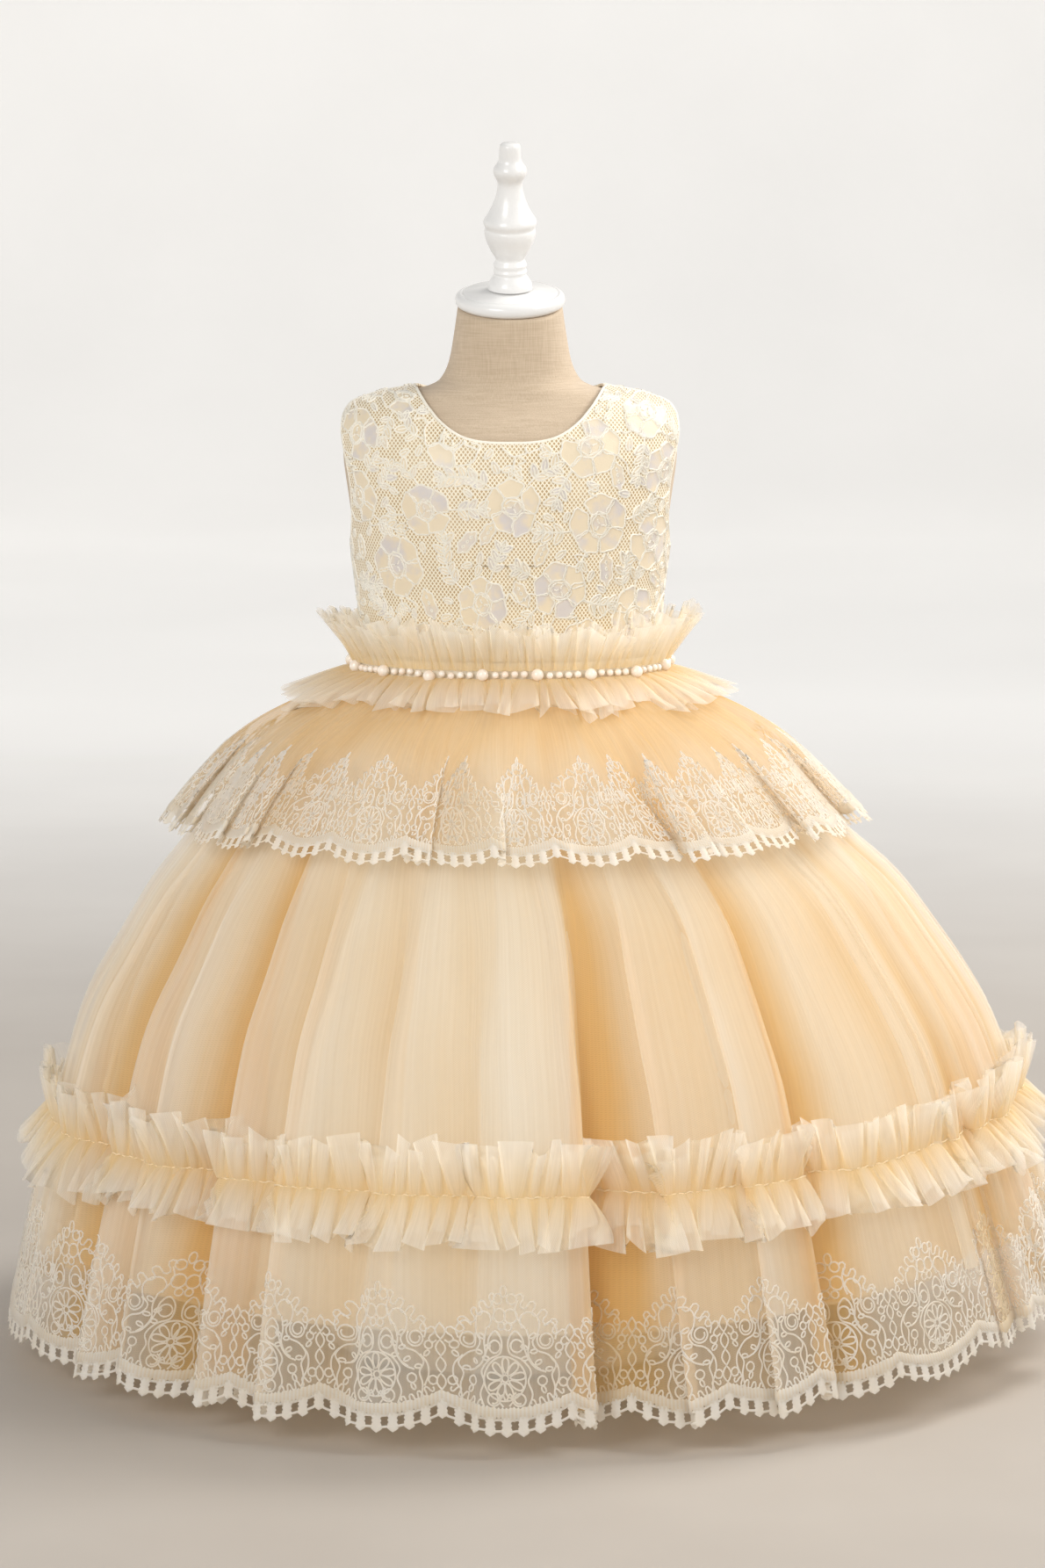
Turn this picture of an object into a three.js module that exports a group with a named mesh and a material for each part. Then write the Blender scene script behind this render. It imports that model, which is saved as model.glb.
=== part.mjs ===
// A child's sleeveless party dress on a limbless dress form, in millimetres.
// +Z is up, the front of the dress faces -Y, and the origin is the centre of the stand's foot on the floor.
// Angles run round the body in degrees: 0 is the centre front, 90 the wearer's left side (+X), 180 the centre back.
import * as THREE from 'three';

// ---------------------------------------------------------------- driving dimensions

const SEAM = 0.3; // gap between two pieces that meet
const TULLE = 1.1; // wall of one gathered tulle layer
const SATIN = 1.6; // wall of the bodice: lace over satin
const BODICE_EASE = 1.2; // from the form to the inside of the bodice
const SHOULDER_EASE = 1.2; // added where the cloth bridges from the chest over the shoulder

const HEM = 14; // lowest point of the skirt above the floor
const WAIST = 426; // height of the pearl strand
const BAND_HEIGHT = 14; // waist band, centred on the strand
const BAND_WALL = 3.4;
const ARMPIT = 500;
const SHOULDER_TIP = 583;
const NECK_POINT = 594.5;
const NECK_FRONT = 563; // lowest point of the front neckline
const NECK_BACK = 584;
const NECK_HALF_WIDTH = 57;
const NECK_POWER = 3.2; // how squarely the front neckline turns up to the shoulders
const ARMHOLE_SCOOP = 14; // degrees that the armholes cut in to the front and back

const BODY_POWER = 0.92; // below 1 squares the body's sections a little

const NECK_TILT = 13.5; // degrees that the neck top leans to the front
const NECK_TOP = 645;
const NECK_START = 600;
const NECK_TOP_SHIFT = -10;

const POLE_RADIUS = 11;
const FOOT_RADIUS = 115;
const FOOT_HEIGHT = 16;

const UNDERSKIRT_HEM = 64; // height of the lining's hem
const UNDERSKIRT_INSET = 37; // how far the lining hangs inside the outer skirt at its hem
const SKIRT_SEAM = HEM + 134; // height where the double frill is sewn on
const RIGHT_LIFT = 24; // the skirt's +X side is spread and lifted by this much at its hem

const SCALLOP_LENGTH = 77; // lace repeat along the skirt's hem
const SCALLOP_HEIGHT = 9;
const LADDER_GAP = 6.4; // the widest gaps in the ladder edging, beside each scallop's point
const LADDER_BAR = 5.4; // the bar between them
const LADDER_EDGE = 4.6; // what is left below a gap

const PEPLUM_HEM = HEM + 311;
const PEPLUM_SCALLOP_LENGTH = 52;
const PEPLUM_SCALLOP_HEIGHT = 6;

// Body of the form: height, half width, depth to the front and back, and shift of the section in Y.
const BODY = [
  { z: 256, width: 84, front: 68, back: 66, shift: 0 },
  { z: 300, width: 93, front: 77, back: 79, shift: 0 },
  { z: 350, width: 95, front: 79, back: 83, shift: 0 },
  { z: 395, width: 92, front: 76, back: 76, shift: 0 },
  { z: 426, width: 90, front: 73, back: 70, shift: 0 },
  { z: 460, width: 91, front: 74, back: 71, shift: 0 },
  { z: 500, width: 95.5, front: 76, back: 74, shift: 0 },
  { z: 530, width: 99.5, front: 76, back: 77, shift: 0 },
  { z: 553, width: 102.5, front: 71, back: 77, shift: 0 },
  { z: 567, width: 103, front: 64, back: 73, shift: 0 },
  { z: 577, width: 100.5, front: 56, back: 66, shift: 0 },
  { z: 583, width: 95.5, front: 50, back: 59, shift: 0 },
  { z: 588, width: 83, front: 46, back: 52, shift: 0 },
  { z: 592, width: 68.5, front: 43, back: 47, shift: -1 },
  { z: 595, width: 55.5, front: 41, back: 44, shift: -2 },
  { z: 600, width: 43.5, front: 38, back: 40, shift: -3 },
  { z: 612, width: 37.5, front: 35.5, back: 36, shift: -5 },
  { z: 628, width: 34.5, front: 33.5, back: 33.5, shift: -8 },
  { z: 645, width: 32, front: 32, back: 32, shift: -10 },
];

// Crest of the outer skirt: height above the hem, half width, half depth, and how far the section sits to +X.
const SKIRT = [
  { z: 404.7, width: 97, depth: 80, shift: 0 },
  { z: 393, width: 117, depth: 99, shift: 0 },
  { z: 376, width: 143, depth: 124, shift: 0 },
  { z: 343, width: 176, depth: 156, shift: 1 },
  { z: 310, width: 204, depth: 181, shift: 4 },
  { z: 276, width: 236, depth: 209, shift: 9 },
  { z: 243, width: 258, depth: 231, shift: 11 },
  { z: 213, width: 277, depth: 250, shift: 12 },
  { z: 186, width: 290, depth: 264, shift: 14 },
  { z: 134, width: 306, depth: 283, shift: 16 },
  { z: 60, width: 327, depth: 298, shift: 18 },
  { z: 0, width: 341, depth: 306, shift: 20 },
];

// Deep folds of the outer skirt: angle, half width in degrees, depth, and degrees that the fold leans over.
const SKIRT_FOLDS = [
  { at: -154, half: 5.5, depth: 26, lean: 3 },
  { at: -127, half: 5.0, depth: 24, lean: -3 },
  { at: -103, half: 4.5, depth: 20, lean: 2 },
  { at: -61, half: 5.0, depth: 22, lean: 3.5 },
  { at: -42, half: 5.0, depth: 28, lean: 4 },
  { at: 9.5, half: 4.6, depth: 28, lean: -3.5 },
  { at: 34, half: 3.6, depth: 14, lean: -2 },
  { at: 58, half: 4.2, depth: 13, lean: 2 },
  { at: 80, half: 4.6, depth: 22, lean: -3 },
  { at: 106, half: 5.0, depth: 24, lean: 3 },
  { at: 131, half: 5.0, depth: 22, lean: -3 },
  { at: 158, half: 5.5, depth: 26, lean: 3 },
];

// Folds of the peplum, in the same columns.
const PEPLUM_FOLDS = [
  { at: -162, half: 8, depth: 9, lean: 5 },
  { at: -128, half: 8, depth: 9, lean: -5 },
  { at: -70, half: 8, depth: 8, lean: -5 },
  { at: -41, half: 8, depth: 9, lean: -5 },
  { at: -7, half: 7, depth: 9, lean: -5 },
  { at: 22, half: 7, depth: 7, lean: 3 },
  { at: 49, half: 8, depth: 9, lean: 5 },
  { at: 72, half: 7, depth: 7, lean: 4 },
  { at: 118, half: 8, depth: 9, lean: 5 },
  { at: 155, half: 8, depth: 9, lean: -5 },
];

// Neck cap and finial, turned round the tilted neck: radius and height above the neck's top.
const CAP_PROFILE = [
  [0, 0.3], [30.6, 0.3], [33.1, 1.8], [33.8, 4.4], [33.1, 7.2], [30.4, 8.9], [29.4, 8.3], [28.2, 9.2], [0, 11.4],
];
const FINIAL_PROFILE = [
  [0, 11.7], [13.6, 11.4], [13.4, 14.6], [11.2, 18.2], [9.4, 20.4], [10.6, 22.2], [9.3, 24.1], [10.6, 26.2],
  [9.4, 28.2], [8.4, 30.2], [11.6, 34.4], [15.2, 42.6], [15.8, 47.4], [14.9, 49.2], [16.9, 53.2], [13.2, 58.4],
  [9.4, 66.2], [7.4, 74.4], [7.6, 78.2], [10.2, 82.6], [10.2, 86.2], [7.2, 90.2], [6.6, 92.4], [6.4, 100.2],
  [5.2, 101.4], [0, 101.6],
];

// ---------------------------------------------------------------- helpers

const radians = THREE.MathUtils.degToRad;
const lerp = THREE.MathUtils.lerp;
const signedPower = (value, power) => Math.sign(value) * Math.abs(value) ** power;

// Eased share 0..1 of the way between two values, which may run down as well as up.
function smooth(x, from, to) {
  const t = THREE.MathUtils.clamp((x - from) / (to - from), 0, 1);
  return t * t * (3 - 2 * t);
}

// Values of a table at one height, by a smooth curve through its rows.
function sample(table, z) {
  const rising = table[0].z < table[table.length - 1].z;
  const rows = rising ? table : [...table].reverse();
  const last = rows.length - 1;
  let i = 0;
  while (i < last - 1 && z > rows[i + 1].z) i += 1;
  const [low, high] = [rows[i], rows[i + 1]];
  const span = high.z - low.z;
  const t = THREE.MathUtils.clamp((z - low.z) / span, 0, 1);
  const slope = (key, k) => {
    if (k === 0) return (rows[1][key] - rows[0][key]) / (rows[1].z - rows[0].z);
    if (k === last) return (rows[last][key] - rows[last - 1][key]) / (rows[last].z - rows[last - 1].z);
    const before = (rows[k][key] - rows[k - 1][key]) / (rows[k].z - rows[k - 1].z);
    const after = (rows[k + 1][key] - rows[k][key]) / (rows[k + 1].z - rows[k].z);
    return before * after <= 0 ? 0 : (2 * before * after) / (before + after);
  };
  const values = {};
  for (const key of Object.keys(low)) {
    if (key === 'z') continue;
    const [m0, m1] = [slope(key, i) * span, slope(key, i + 1) * span];
    values[key] = (2 * t ** 3 - 3 * t ** 2 + 1) * low[key] + (t ** 3 - 2 * t ** 2 + t) * m0
      + (-2 * t ** 3 + 3 * t ** 2) * high[key] + (t ** 3 - t ** 2) * m1;
  }
  return values;
}

// Outward normal of a surface point(angle, z), by small steps.
function normalOf(point, angle, z) {
  const stepAngle = 0.2;
  const stepZ = 0.4;
  const along = point(angle + stepAngle, z).sub(point(angle - stepAngle, z));
  const up = point(angle, z + stepZ).sub(point(angle, z - stepZ));
  return along.cross(up).normalize();
}

const movedOut = (point, angle, z, distance) => (
  point(angle, z).addScaledVector(normalOf(point, angle, z), distance)
);

// A closed cloth wall from rows of points, top row first. Each row is { at, outer, inner }; rows that differ in
// number of points are zipped together by their positions in `at`. isHole(strip, column) leaves a gap.
function wallGeometry(rows, { closed = false, isHole = () => false } = {}) {
  const positions = [];
  const index = [];
  const put = (points) => {
    const ids = points.map((p) => positions.push(p.x, p.y, p.z) / 3 - 1);
    if (closed) ids.push(ids[0]);
    return ids;
  };
  const grid = rows.map((row) => ({
    at: closed ? [...row.at, row.at[0] + 360] : row.at,
    outer: put(row.outer),
    inner: put(row.inner),
  }));
  const tri = (a, b, c) => index.push(a, b, c);
  const rim = (o0, o1, i0, i1, flip) => {
    if (flip) {
      tri(o0, i1, o1);
      tri(o0, i0, i1);
    } else {
      tri(o0, o1, i1);
      tri(o0, i1, i0);
    }
  };
  const quad = (A, B, a, b) => {
    tri(A.outer[a], B.outer[a], B.outer[b]);
    tri(A.outer[a], B.outer[b], A.outer[b]);
    tri(A.inner[a], B.inner[b], B.inner[a]);
    tri(A.inner[a], A.inner[b], B.inner[b]);
  };
  const holeRims = (A, B, a, b) => {
    rim(A.outer[a], A.outer[b], A.inner[a], A.inner[b], true);
    rim(B.outer[a], B.outer[b], B.inner[a], B.inner[b], false);
    rim(A.outer[a], B.outer[a], A.inner[a], B.inner[a], false);
    rim(A.outer[b], B.outer[b], A.inner[b], B.inner[b], true);
  };
  const zip = (A, B) => {
    let [i, j] = [0, 0];
    const [lastA, lastB] = [A.at.length - 1, B.at.length - 1];
    while (i < lastA || j < lastB) {
      if (j === lastB || (i < lastA && A.at[i + 1] <= B.at[j + 1])) {
        tri(A.outer[i], B.outer[j], A.outer[i + 1]);
        tri(A.inner[i], A.inner[i + 1], B.inner[j]);
        i += 1;
      } else {
        tri(A.outer[i], B.outer[j], B.outer[j + 1]);
        tri(A.inner[i], B.inner[j + 1], B.inner[j]);
        j += 1;
      }
    }
  };
  for (let r = 0; r + 1 < grid.length; r += 1) {
    const [A, B] = [grid[r], grid[r + 1]];
    if (A.at.length !== B.at.length) {
      zip(A, B);
      continue;
    }
    for (let c = 0; c + 1 < A.at.length; c += 1) {
      if (isHole(r, c)) holeRims(A, B, c, c + 1);
      else quad(A, B, c, c + 1);
    }
  }
  const [top, bottom] = [grid[0], grid[grid.length - 1]];
  for (let c = 0; c + 1 < top.at.length; c += 1) {
    rim(top.outer[c], top.outer[c + 1], top.inner[c], top.inner[c + 1], false);
  }
  for (let c = 0; c + 1 < bottom.at.length; c += 1) {
    rim(bottom.outer[c], bottom.outer[c + 1], bottom.inner[c], bottom.inner[c + 1], true);
  }
  if (!closed) {
    for (let r = 0; r + 1 < grid.length; r += 1) {
      const [A, B] = [grid[r], grid[r + 1]];
      const [a, b] = [A.at.length - 1, B.at.length - 1];
      rim(A.outer[0], B.outer[0], A.inner[0], B.inner[0], true);
      rim(A.outer[a], B.outer[b], A.inner[a], B.inner[b], false);
    }
  }
  return fromTriangles(positions, index);
}

function fromTriangles(positions, index) {
  const geometry = new THREE.BufferGeometry();
  geometry.setAttribute('position', new THREE.Float32BufferAttribute(positions, 3));
  geometry.setIndex(index);
  geometry.computeVertexNormals();
  return geometry;
}

// A closed body through rings of equal size, lowest ring first, with flat ends.
function loftGeometry(rings) {
  const positions = [];
  const index = [];
  const count = rings[0].length;
  for (const p of rings.flat()) positions.push(p.x, p.y, p.z);
  for (let r = 0; r + 1 < rings.length; r += 1) {
    for (let c = 0; c < count; c += 1) {
      const next = (c + 1) % count;
      const [a, b] = [r * count + c, r * count + next];
      index.push(a, b, b + count, a, b + count, a + count);
    }
  }
  for (const [ring, upward] of [[0, false], [rings.length - 1, true]]) {
    const centre = rings[ring].reduce((sum, p) => sum.add(p), new THREE.Vector3()).divideScalar(count);
    const id = positions.push(centre.x, centre.y, centre.z) / 3 - 1;
    for (let c = 0; c < count; c += 1) {
      const [a, b] = [ring * count + c, ring * count + ((c + 1) % count)];
      index.push(id, upward ? a : b, upward ? b : a);
    }
  }
  return fromTriangles(positions, index);
}

// A closed ring round the body whose section is a polygon, listed clockwise as seen from its own column.
function ringGeometry(columns, section) {
  const positions = [];
  const index = [];
  const sides = section(0).length;
  for (let c = 0; c < columns; c += 1) {
    for (const p of section((360 * c) / columns)) positions.push(p.x, p.y, p.z);
  }
  for (let c = 0; c < columns; c += 1) {
    const next = ((c + 1) % columns) * sides;
    for (let k = 0; k < sides; k += 1) {
      const [a, b] = [c * sides + k, c * sides + ((k + 1) % sides)];
      const [d, e] = [next + k, next + ((k + 1) % sides)];
      index.push(a, d, e, a, e, b);
    }
  }
  return fromTriangles(positions, index);
}

// Angles every `step` degrees or less between two ends.
function spread(from, to, step) {
  const count = Math.max(1, Math.ceil((to - from) / step));
  return Array.from({ length: count + 1 }, (_, i) => lerp(from, to, i / count));
}

const part = new THREE.Group();

function addMesh(parent, name, geometry, color, roughness, metalness = 0) {
  const mesh = new THREE.Mesh(geometry, new THREE.MeshStandardMaterial({ color, roughness, metalness }));
  mesh.name = name;
  parent.add(mesh);
  return mesh;
}

const COLOUR = {
  linen: 0xcdb791, paint: 0xf1f0ee, metal: 0xb9b6b0, lace: 0xf6e8c4, tulle: 0xf7e3b4, border: 0xfaf4e6,
  lining: 0xf2dca4, pearl: 0xfbf3e4, zip: 0xf0e0b8,
};

// ---------------------------------------------------------------- dress form

// A point on the form at one angle and height; the dress is made from these points, moved out.
function body(angle, z) {
  const { width, front, back, shift } = sample(BODY, z);
  const a = radians(angle);
  const depth = Math.cos(a) > 0 ? front : back;
  return new THREE.Vector3(
    width * signedPower(Math.sin(a), BODY_POWER),
    shift - depth * signedPower(Math.cos(a), BODY_POWER),
    z,
  );
}

function torsoGeometry() {
  const columns = 24;
  const heights = [256, 300, 350, 395, 426, 470, 515, 545, 562, 574, 583, 588, 592, 595, 600, 612, 628, NECK_TOP];
  return loftGeometry(heights.map((z) => {
    const tilt = Math.tan(radians(NECK_TILT * smooth(z, NECK_START, NECK_TOP)));
    return Array.from({ length: columns }, (_, i) => {
      const p = body((360 * i) / columns, z);
      p.z += (p.y - sample(BODY, z).shift) * tilt;
      return p;
    });
  }));
}

// A LatheGeometry profile stood upright along +Z.
function turned(profile, segments) {
  const geometry = new THREE.LatheGeometry(profile.map(([r, h]) => new THREE.Vector2(r, h)), segments);
  return geometry.rotateX(Math.PI / 2);
}

function addForm() {
  addMesh(part, 'form_torso', torsoGeometry(), COLOUR.linen, 0.85);
  const neck = new THREE.Group();
  neck.position.set(0, NECK_TOP_SHIFT, NECK_TOP);
  neck.rotation.x = radians(NECK_TILT);
  part.add(neck);
  addMesh(neck, 'form_neck_cap', turned(CAP_PROFILE, 22), COLOUR.paint, 0.35);
  addMesh(neck, 'form_finial', turned(FINIAL_PROFILE, 14), COLOUR.paint, 0.35);

  const bodyBottom = BODY[0].z;
  const poleBottom = FOOT_HEIGHT + SEAM;
  const poleLength = bodyBottom - SEAM - poleBottom;
  const pole = new THREE.CylinderGeometry(POLE_RADIUS, POLE_RADIUS, poleLength, 16).rotateX(Math.PI / 2);
  addMesh(part, 'form_pole', pole, COLOUR.metal, 0.3, 0.9).position.z = poleBottom + poleLength / 2;
  const edge = 3;
  const footProfile = [
    [0, 0], [FOOT_RADIUS - edge, 0], [FOOT_RADIUS, edge], [FOOT_RADIUS, FOOT_HEIGHT / 2],
    [FOOT_RADIUS - 2 * edge, FOOT_HEIGHT - edge], [4 * POLE_RADIUS, FOOT_HEIGHT], [0, FOOT_HEIGHT],
  ];
  addMesh(part, 'form_foot', turned(footProfile, 24), COLOUR.paint, 0.4);
}

// ---------------------------------------------------------------- bodice

// Angle on the body where a section reaches this X.
function angleAtX(x, z) {
  const ratio = THREE.MathUtils.clamp(Math.abs(x) / sample(BODY, z).width, 0, 1);
  return THREE.MathUtils.radToDeg(Math.asin(ratio ** (1 / BODY_POWER))) * Math.sign(x);
}

// Neckline from the centre to the shoulder: share 0..1 of its half width, as [angle from the centre, height].
function neckline(share, centre, power) {
  const x = NECK_HALF_WIDTH * share;
  const z = centre + (NECK_POINT - centre) * share ** power;
  return [angleAtX(x, z), z];
}

// Half of a panel's top edge, shoulder tip to the centre, evenly spaced along the cloth.
function topEdge(centre, power) {
  const path = [];
  const steps = 60;
  for (let i = 0; i <= steps; i += 1) path.push([90, lerp(SHOULDER_TIP, NECK_POINT, i / steps)]);
  for (let i = 1; i <= 2 * steps; i += 1) path.push(neckline(1 - i / (2 * steps), centre, power));
  const points = path.map(([angle, z]) => body(angle, z));
  const lengths = [0];
  for (let i = 1; i < points.length; i += 1) lengths.push(lengths[i - 1] + points[i].distanceTo(points[i - 1]));
  const total = lengths[lengths.length - 1];
  return (share) => {
    const goal = share * total;
    let i = 1;
    while (i < lengths.length - 1 && lengths[i] < goal) i += 1;
    const t = (goal - lengths[i - 1]) / (lengths[i] - lengths[i - 1]);
    return [lerp(path[i - 1][0], path[i][0], t), lerp(path[i - 1][1], path[i][1], t)];
  };
}

// Side seam and armhole, from the waist up: degrees in from the side, and height.
function sideEdge(share, bottom) {
  const seamShare = 0.4;
  if (share <= seamShare) return [0, lerp(bottom, ARMPIT, share / seamShare)];
  const turn = Math.PI * ((share - seamShare) / (1 - seamShare));
  return [ARMHOLE_SCOOP * Math.sin(turn), lerp(ARMPIT, SHOULDER_TIP, (1 - Math.cos(turn)) / 2)];
}

// The body with the room that the bodice keeps from it.
function easedBody(angle, z) {
  const bridging = smooth(z, 540, 565) * smooth(z, NECK_POINT, 588);
  return movedOut(body, angle, z, BODICE_EASE + SHOULDER_EASE * bridging);
}

// A bodice panel filled in between its four edges. Angles are counted from the panel's own centre line, so
// 90 is the side seam; `place` turns such an angle into one round the body.
function panelGeometry({ from, centre, power, columns, place }) {
  const rows = 13;
  const bottom = WAIST + BAND_HEIGHT / 2 + SEAM;
  const top = topEdge(centre, power);
  const topAt = (s) => {
    const [angle, z] = top(1 - Math.abs(s));
    return [angle * Math.sign(s), z];
  };
  const middle = (share) => [0, lerp(bottom, centre, share)];
  const sideAt = (share, sign) => {
    const [scoop, z] = sideEdge(share, bottom);
    return [sign * (90 - scoop), z];
  };
  const leftAt = (share) => (from < 0 ? sideAt(share, -1) : middle(share));
  const blend = (s, v, k) => {
    const t = (s - from) / (1 - from);
    const low = [90 * s, bottom];
    const corner = (1 - t) * ((1 - v) * [90 * from, bottom][k] + v * leftAt(1)[k])
      + t * ((1 - v) * [90, bottom][k] + v * sideAt(1, 1)[k]);
    return (1 - v) * low[k] + v * topAt(s)[k] + (1 - t) * leftAt(v)[k] + t * sideAt(v, 1)[k] - corner;
  };
  const shares = Array.from({ length: columns + 1 }, (_, i) => lerp(from, 1, i / columns));
  const grid = [];
  for (let r = 0; r <= rows; r += 1) {
    const v = 1 - (r / rows) ** 1.15;
    const spots = shares.map((s) => place(blend(s, v, 0), blend(s, v, 1)));
    if (spots[0].angle > spots[spots.length - 1].angle) spots.reverse();
    grid.push({
      at: shares,
      outer: spots.map(({ angle, z }) => movedOut(easedBody, angle, z, SATIN)),
      inner: spots.map(({ angle, z }) => easedBody(angle, z)),
    });
  }
  return wallGeometry(grid);
}

function addBodice() {
  const sideGap = 0.14; // degrees kept from each side seam
  const zipHalf = 1.9; // from the centre back to a back panel's edge
  const frontPlace = (angle, z) => ({ angle: angle * (1 - sideGap / 90), z });
  const front = { from: -1, centre: NECK_FRONT, power: NECK_POWER, columns: 20, place: frontPlace };
  addMesh(part, 'bodice_front', panelGeometry(front), COLOUR.lace, 0.6);
  for (const [name, sign] of [['bodice_back_left', 1], ['bodice_back_right', -1]]) {
    const place = (angle, z) => {
      const edge = THREE.MathUtils.radToDeg(Math.asin((zipHalf / sample(BODY, z).width) ** (1 / BODY_POWER)));
      return { angle: sign * (180 - lerp(edge, 90 - sideGap, angle / 90)), z };
    };
    const back = { from: 0, centre: NECK_BACK, power: NECK_POWER, columns: 11, place };
    addMesh(part, name, panelGeometry(back), COLOUR.lace, 0.6);
  }
}

// ---------------------------------------------------------------- back zip

const ZIP_TOP = NECK_BACK - 2;
const SLIDER_Z = 572;
const SLIDER_HOLE = 2.9; // height of the pull's pivot above the slider's underside

function addZip() {
  const back = (z, distance, x) => movedOut(easedBody, 180, z, distance).setX(x);
  const chainHalf = 1.6;
  const chainRows = spread(0, 1, 0.06).map((share) => {
    const z = lerp(ZIP_TOP, WAIST + BAND_HEIGHT / 2 + SEAM, share);
    const line = (distance) => [chainHalf, -chainHalf].map((x) => back(z, distance, x));
    return { at: [0, 1], outer: line(SATIN + 0.4), inner: line(0) };
  });
  addMesh(part, 'back_zip', wallGeometry(chainRows), COLOUR.zip, 0.5);

  // The slider's frame: X across the zip, Y up along it, Z out of the back.
  const up = back(SLIDER_Z + 4, 0, 0).sub(back(SLIDER_Z - 4, 0, 0)).normalize();
  const out = new THREE.Vector3(-1, 0, 0).cross(up).normalize();
  const frame = new THREE.Group();
  const seat = SATIN + 0.4 + SEAM;
  frame.position.copy(back(SLIDER_Z, 0, 0)).addScaledVector(out, seat);
  frame.quaternion.setFromRotationMatrix(new THREE.Matrix4().makeBasis(new THREE.Vector3(-1, 0, 0), up, out));
  part.add(frame);

  const sliderHalf = 1.2;
  const outline = new THREE.Shape([
    new THREE.Vector2(-4, 0), new THREE.Vector2(4, 0), new THREE.Vector2(4, 2), new THREE.Vector2(2.2, 5),
    new THREE.Vector2(-2.2, 5), new THREE.Vector2(-4, 2),
  ]);
  outline.holes.push(new THREE.Path().absarc(0, SLIDER_HOLE, 1.25, 0, 2 * Math.PI, true));
  const slider = new THREE.ExtrudeGeometry(outline, { depth: 2 * sliderHalf, bevelEnabled: false, curveSegments: 5 });
  slider.translate(0, 0, -sliderHalf).rotateX(Math.PI / 2).rotateZ(Math.PI / 2);
  addMesh(frame, 'zip_slider', slider, COLOUR.zip, 0.4);

  const pullHalf = 2.7;
  const windowHalf = 1.65;
  const barHalf = 0.7;
  const windowEnd = 5.6;
  const pullLength = 21;
  const pullShape = new THREE.Shape([
    new THREE.Vector2(-pullHalf, barHalf), new THREE.Vector2(-pullHalf, -pullLength + 3),
    new THREE.Vector2(-pullHalf / 2, -pullLength), new THREE.Vector2(pullHalf / 2, -pullLength),
    new THREE.Vector2(pullHalf, -pullLength + 3), new THREE.Vector2(pullHalf, barHalf),
  ]);
  pullShape.holes.push(new THREE.Path([
    new THREE.Vector2(-windowHalf, -barHalf), new THREE.Vector2(windowHalf, -barHalf),
    new THREE.Vector2(windowHalf, -windowEnd), new THREE.Vector2(-windowHalf, -windowEnd),
  ]));
  const pullWall = 1.2;
  const pull = new THREE.ExtrudeGeometry(pullShape, { depth: pullWall, bevelEnabled: false });
  pull.translate(0, 0, -pullWall / 2);
  addMesh(frame, 'zip_pull', pull, COLOUR.zip, 0.4).position.z = SLIDER_HOLE;
}

// ---------------------------------------------------------------- skirts

// How much of a fold is reached at an angle: 0 on the lobes, 1 at a fold's bottom.
function foldAt(folds, angle) {
  for (const fold of folds) {
    const away = THREE.MathUtils.euclideanModulo(angle - fold.at + 180, 360) - 180;
    if (Math.abs(away) < fold.half) return { fold, share: Math.cos((Math.PI * away) / (2 * fold.half)) ** 2 };
  }
  return { fold: { depth: 0, lean: 0 }, share: 0 };
}

// A point of a gathered skirt: height above the hem, folds that grow by `grow`, moved `inset` inside the crest.
function gathered(angle, z, folds, grow, inset) {
  const { width, depth, shift } = sample(SKIRT, z);
  const { fold, share } = foldAt(folds, angle);
  const a = radians(angle + fold.lean * share * grow);
  const dent = inset + fold.depth * share * grow;
  const fall = THREE.MathUtils.clamp(1 - z / SKIRT[0].z, 0, 1);
  const lift = RIGHT_LIFT * Math.max(0, Math.sin(a)) ** 2 * fall ** 1.5;
  const power = lerp(BODY_POWER, 1, smooth(z, SKIRT[0].z, SKIRT[0].z - 60));
  return new THREE.Vector3(
    shift + (width - dent) * signedPower(Math.sin(a), power),
    -(depth - dent) * signedPower(Math.cos(a), power),
    HEM + z + lift,
  );
}

const skirtGrow = (z) => smooth(z, SKIRT[0].z + 40, 60);
const overskirt = (angle, z) => gathered(angle, z, SKIRT_FOLDS, skirtGrow(z), 0);

// Underskirt: smooth, narrower, with its own lower edge.
const underskirt = (angle, z) => {
  const fall = smooth(z, SKIRT[0].z, SKIRT[0].z - 190);
  return gathered(angle, z, [], 0, lerp(3.4, UNDERSKIRT_INSET, fall));
};

// Peplum: over the skirt's crest, standing off more towards its hem.
const peplum = (angle, z) => {
  const fall = smooth(z, SKIRT[0].z, SKIRT[0].z - 45);
  const grow = smooth(z, SKIRT[0].z, PEPLUM_HEM - HEM);
  return gathered(angle, z, PEPLUM_FOLDS, grow, -lerp(2.8, 12.5, fall));
};

// Angles that catch every fold, and lie at most `step` apart between folds.
function foldAngles(folds, from, to, step) {
  const marks = [from, to];
  for (const { at, half } of folds) {
    for (const turn of [-360, 0, 360]) {
      for (const share of [-1, -0.5, 0, 0.5, 1]) {
        const angle = at + turn + share * half;
        if (angle > from + 1 && angle < to - 1) marks.push(angle);
      }
    }
  }
  marks.sort((a, b) => a - b);
  const angles = [marks[0]];
  for (let i = 1; i < marks.length; i += 1) angles.push(...spread(marks[i - 1], marks[i], step).slice(1));
  return angles;
}

// Angles at given lengths along the cloth's lower edge, as a function of length.
function edgeLength(surface, z, from, to) {
  const step = 0.25;
  const angles = spread(from, to, step);
  const lengths = [0];
  for (let i = 1; i < angles.length; i += 1) {
    lengths.push(lengths[i - 1] + surface(angles[i], z).distanceTo(surface(angles[i - 1], z)));
  }
  const total = lengths[lengths.length - 1];
  const angleAt = (length) => {
    let i = 1;
    while (i < lengths.length - 1 && lengths[i] < length) i += 1;
    return lerp(angles[i - 1], angles[i], (length - lengths[i - 1]) / (lengths[i] - lengths[i - 1]));
  };
  return { total, angleAt };
}

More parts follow.
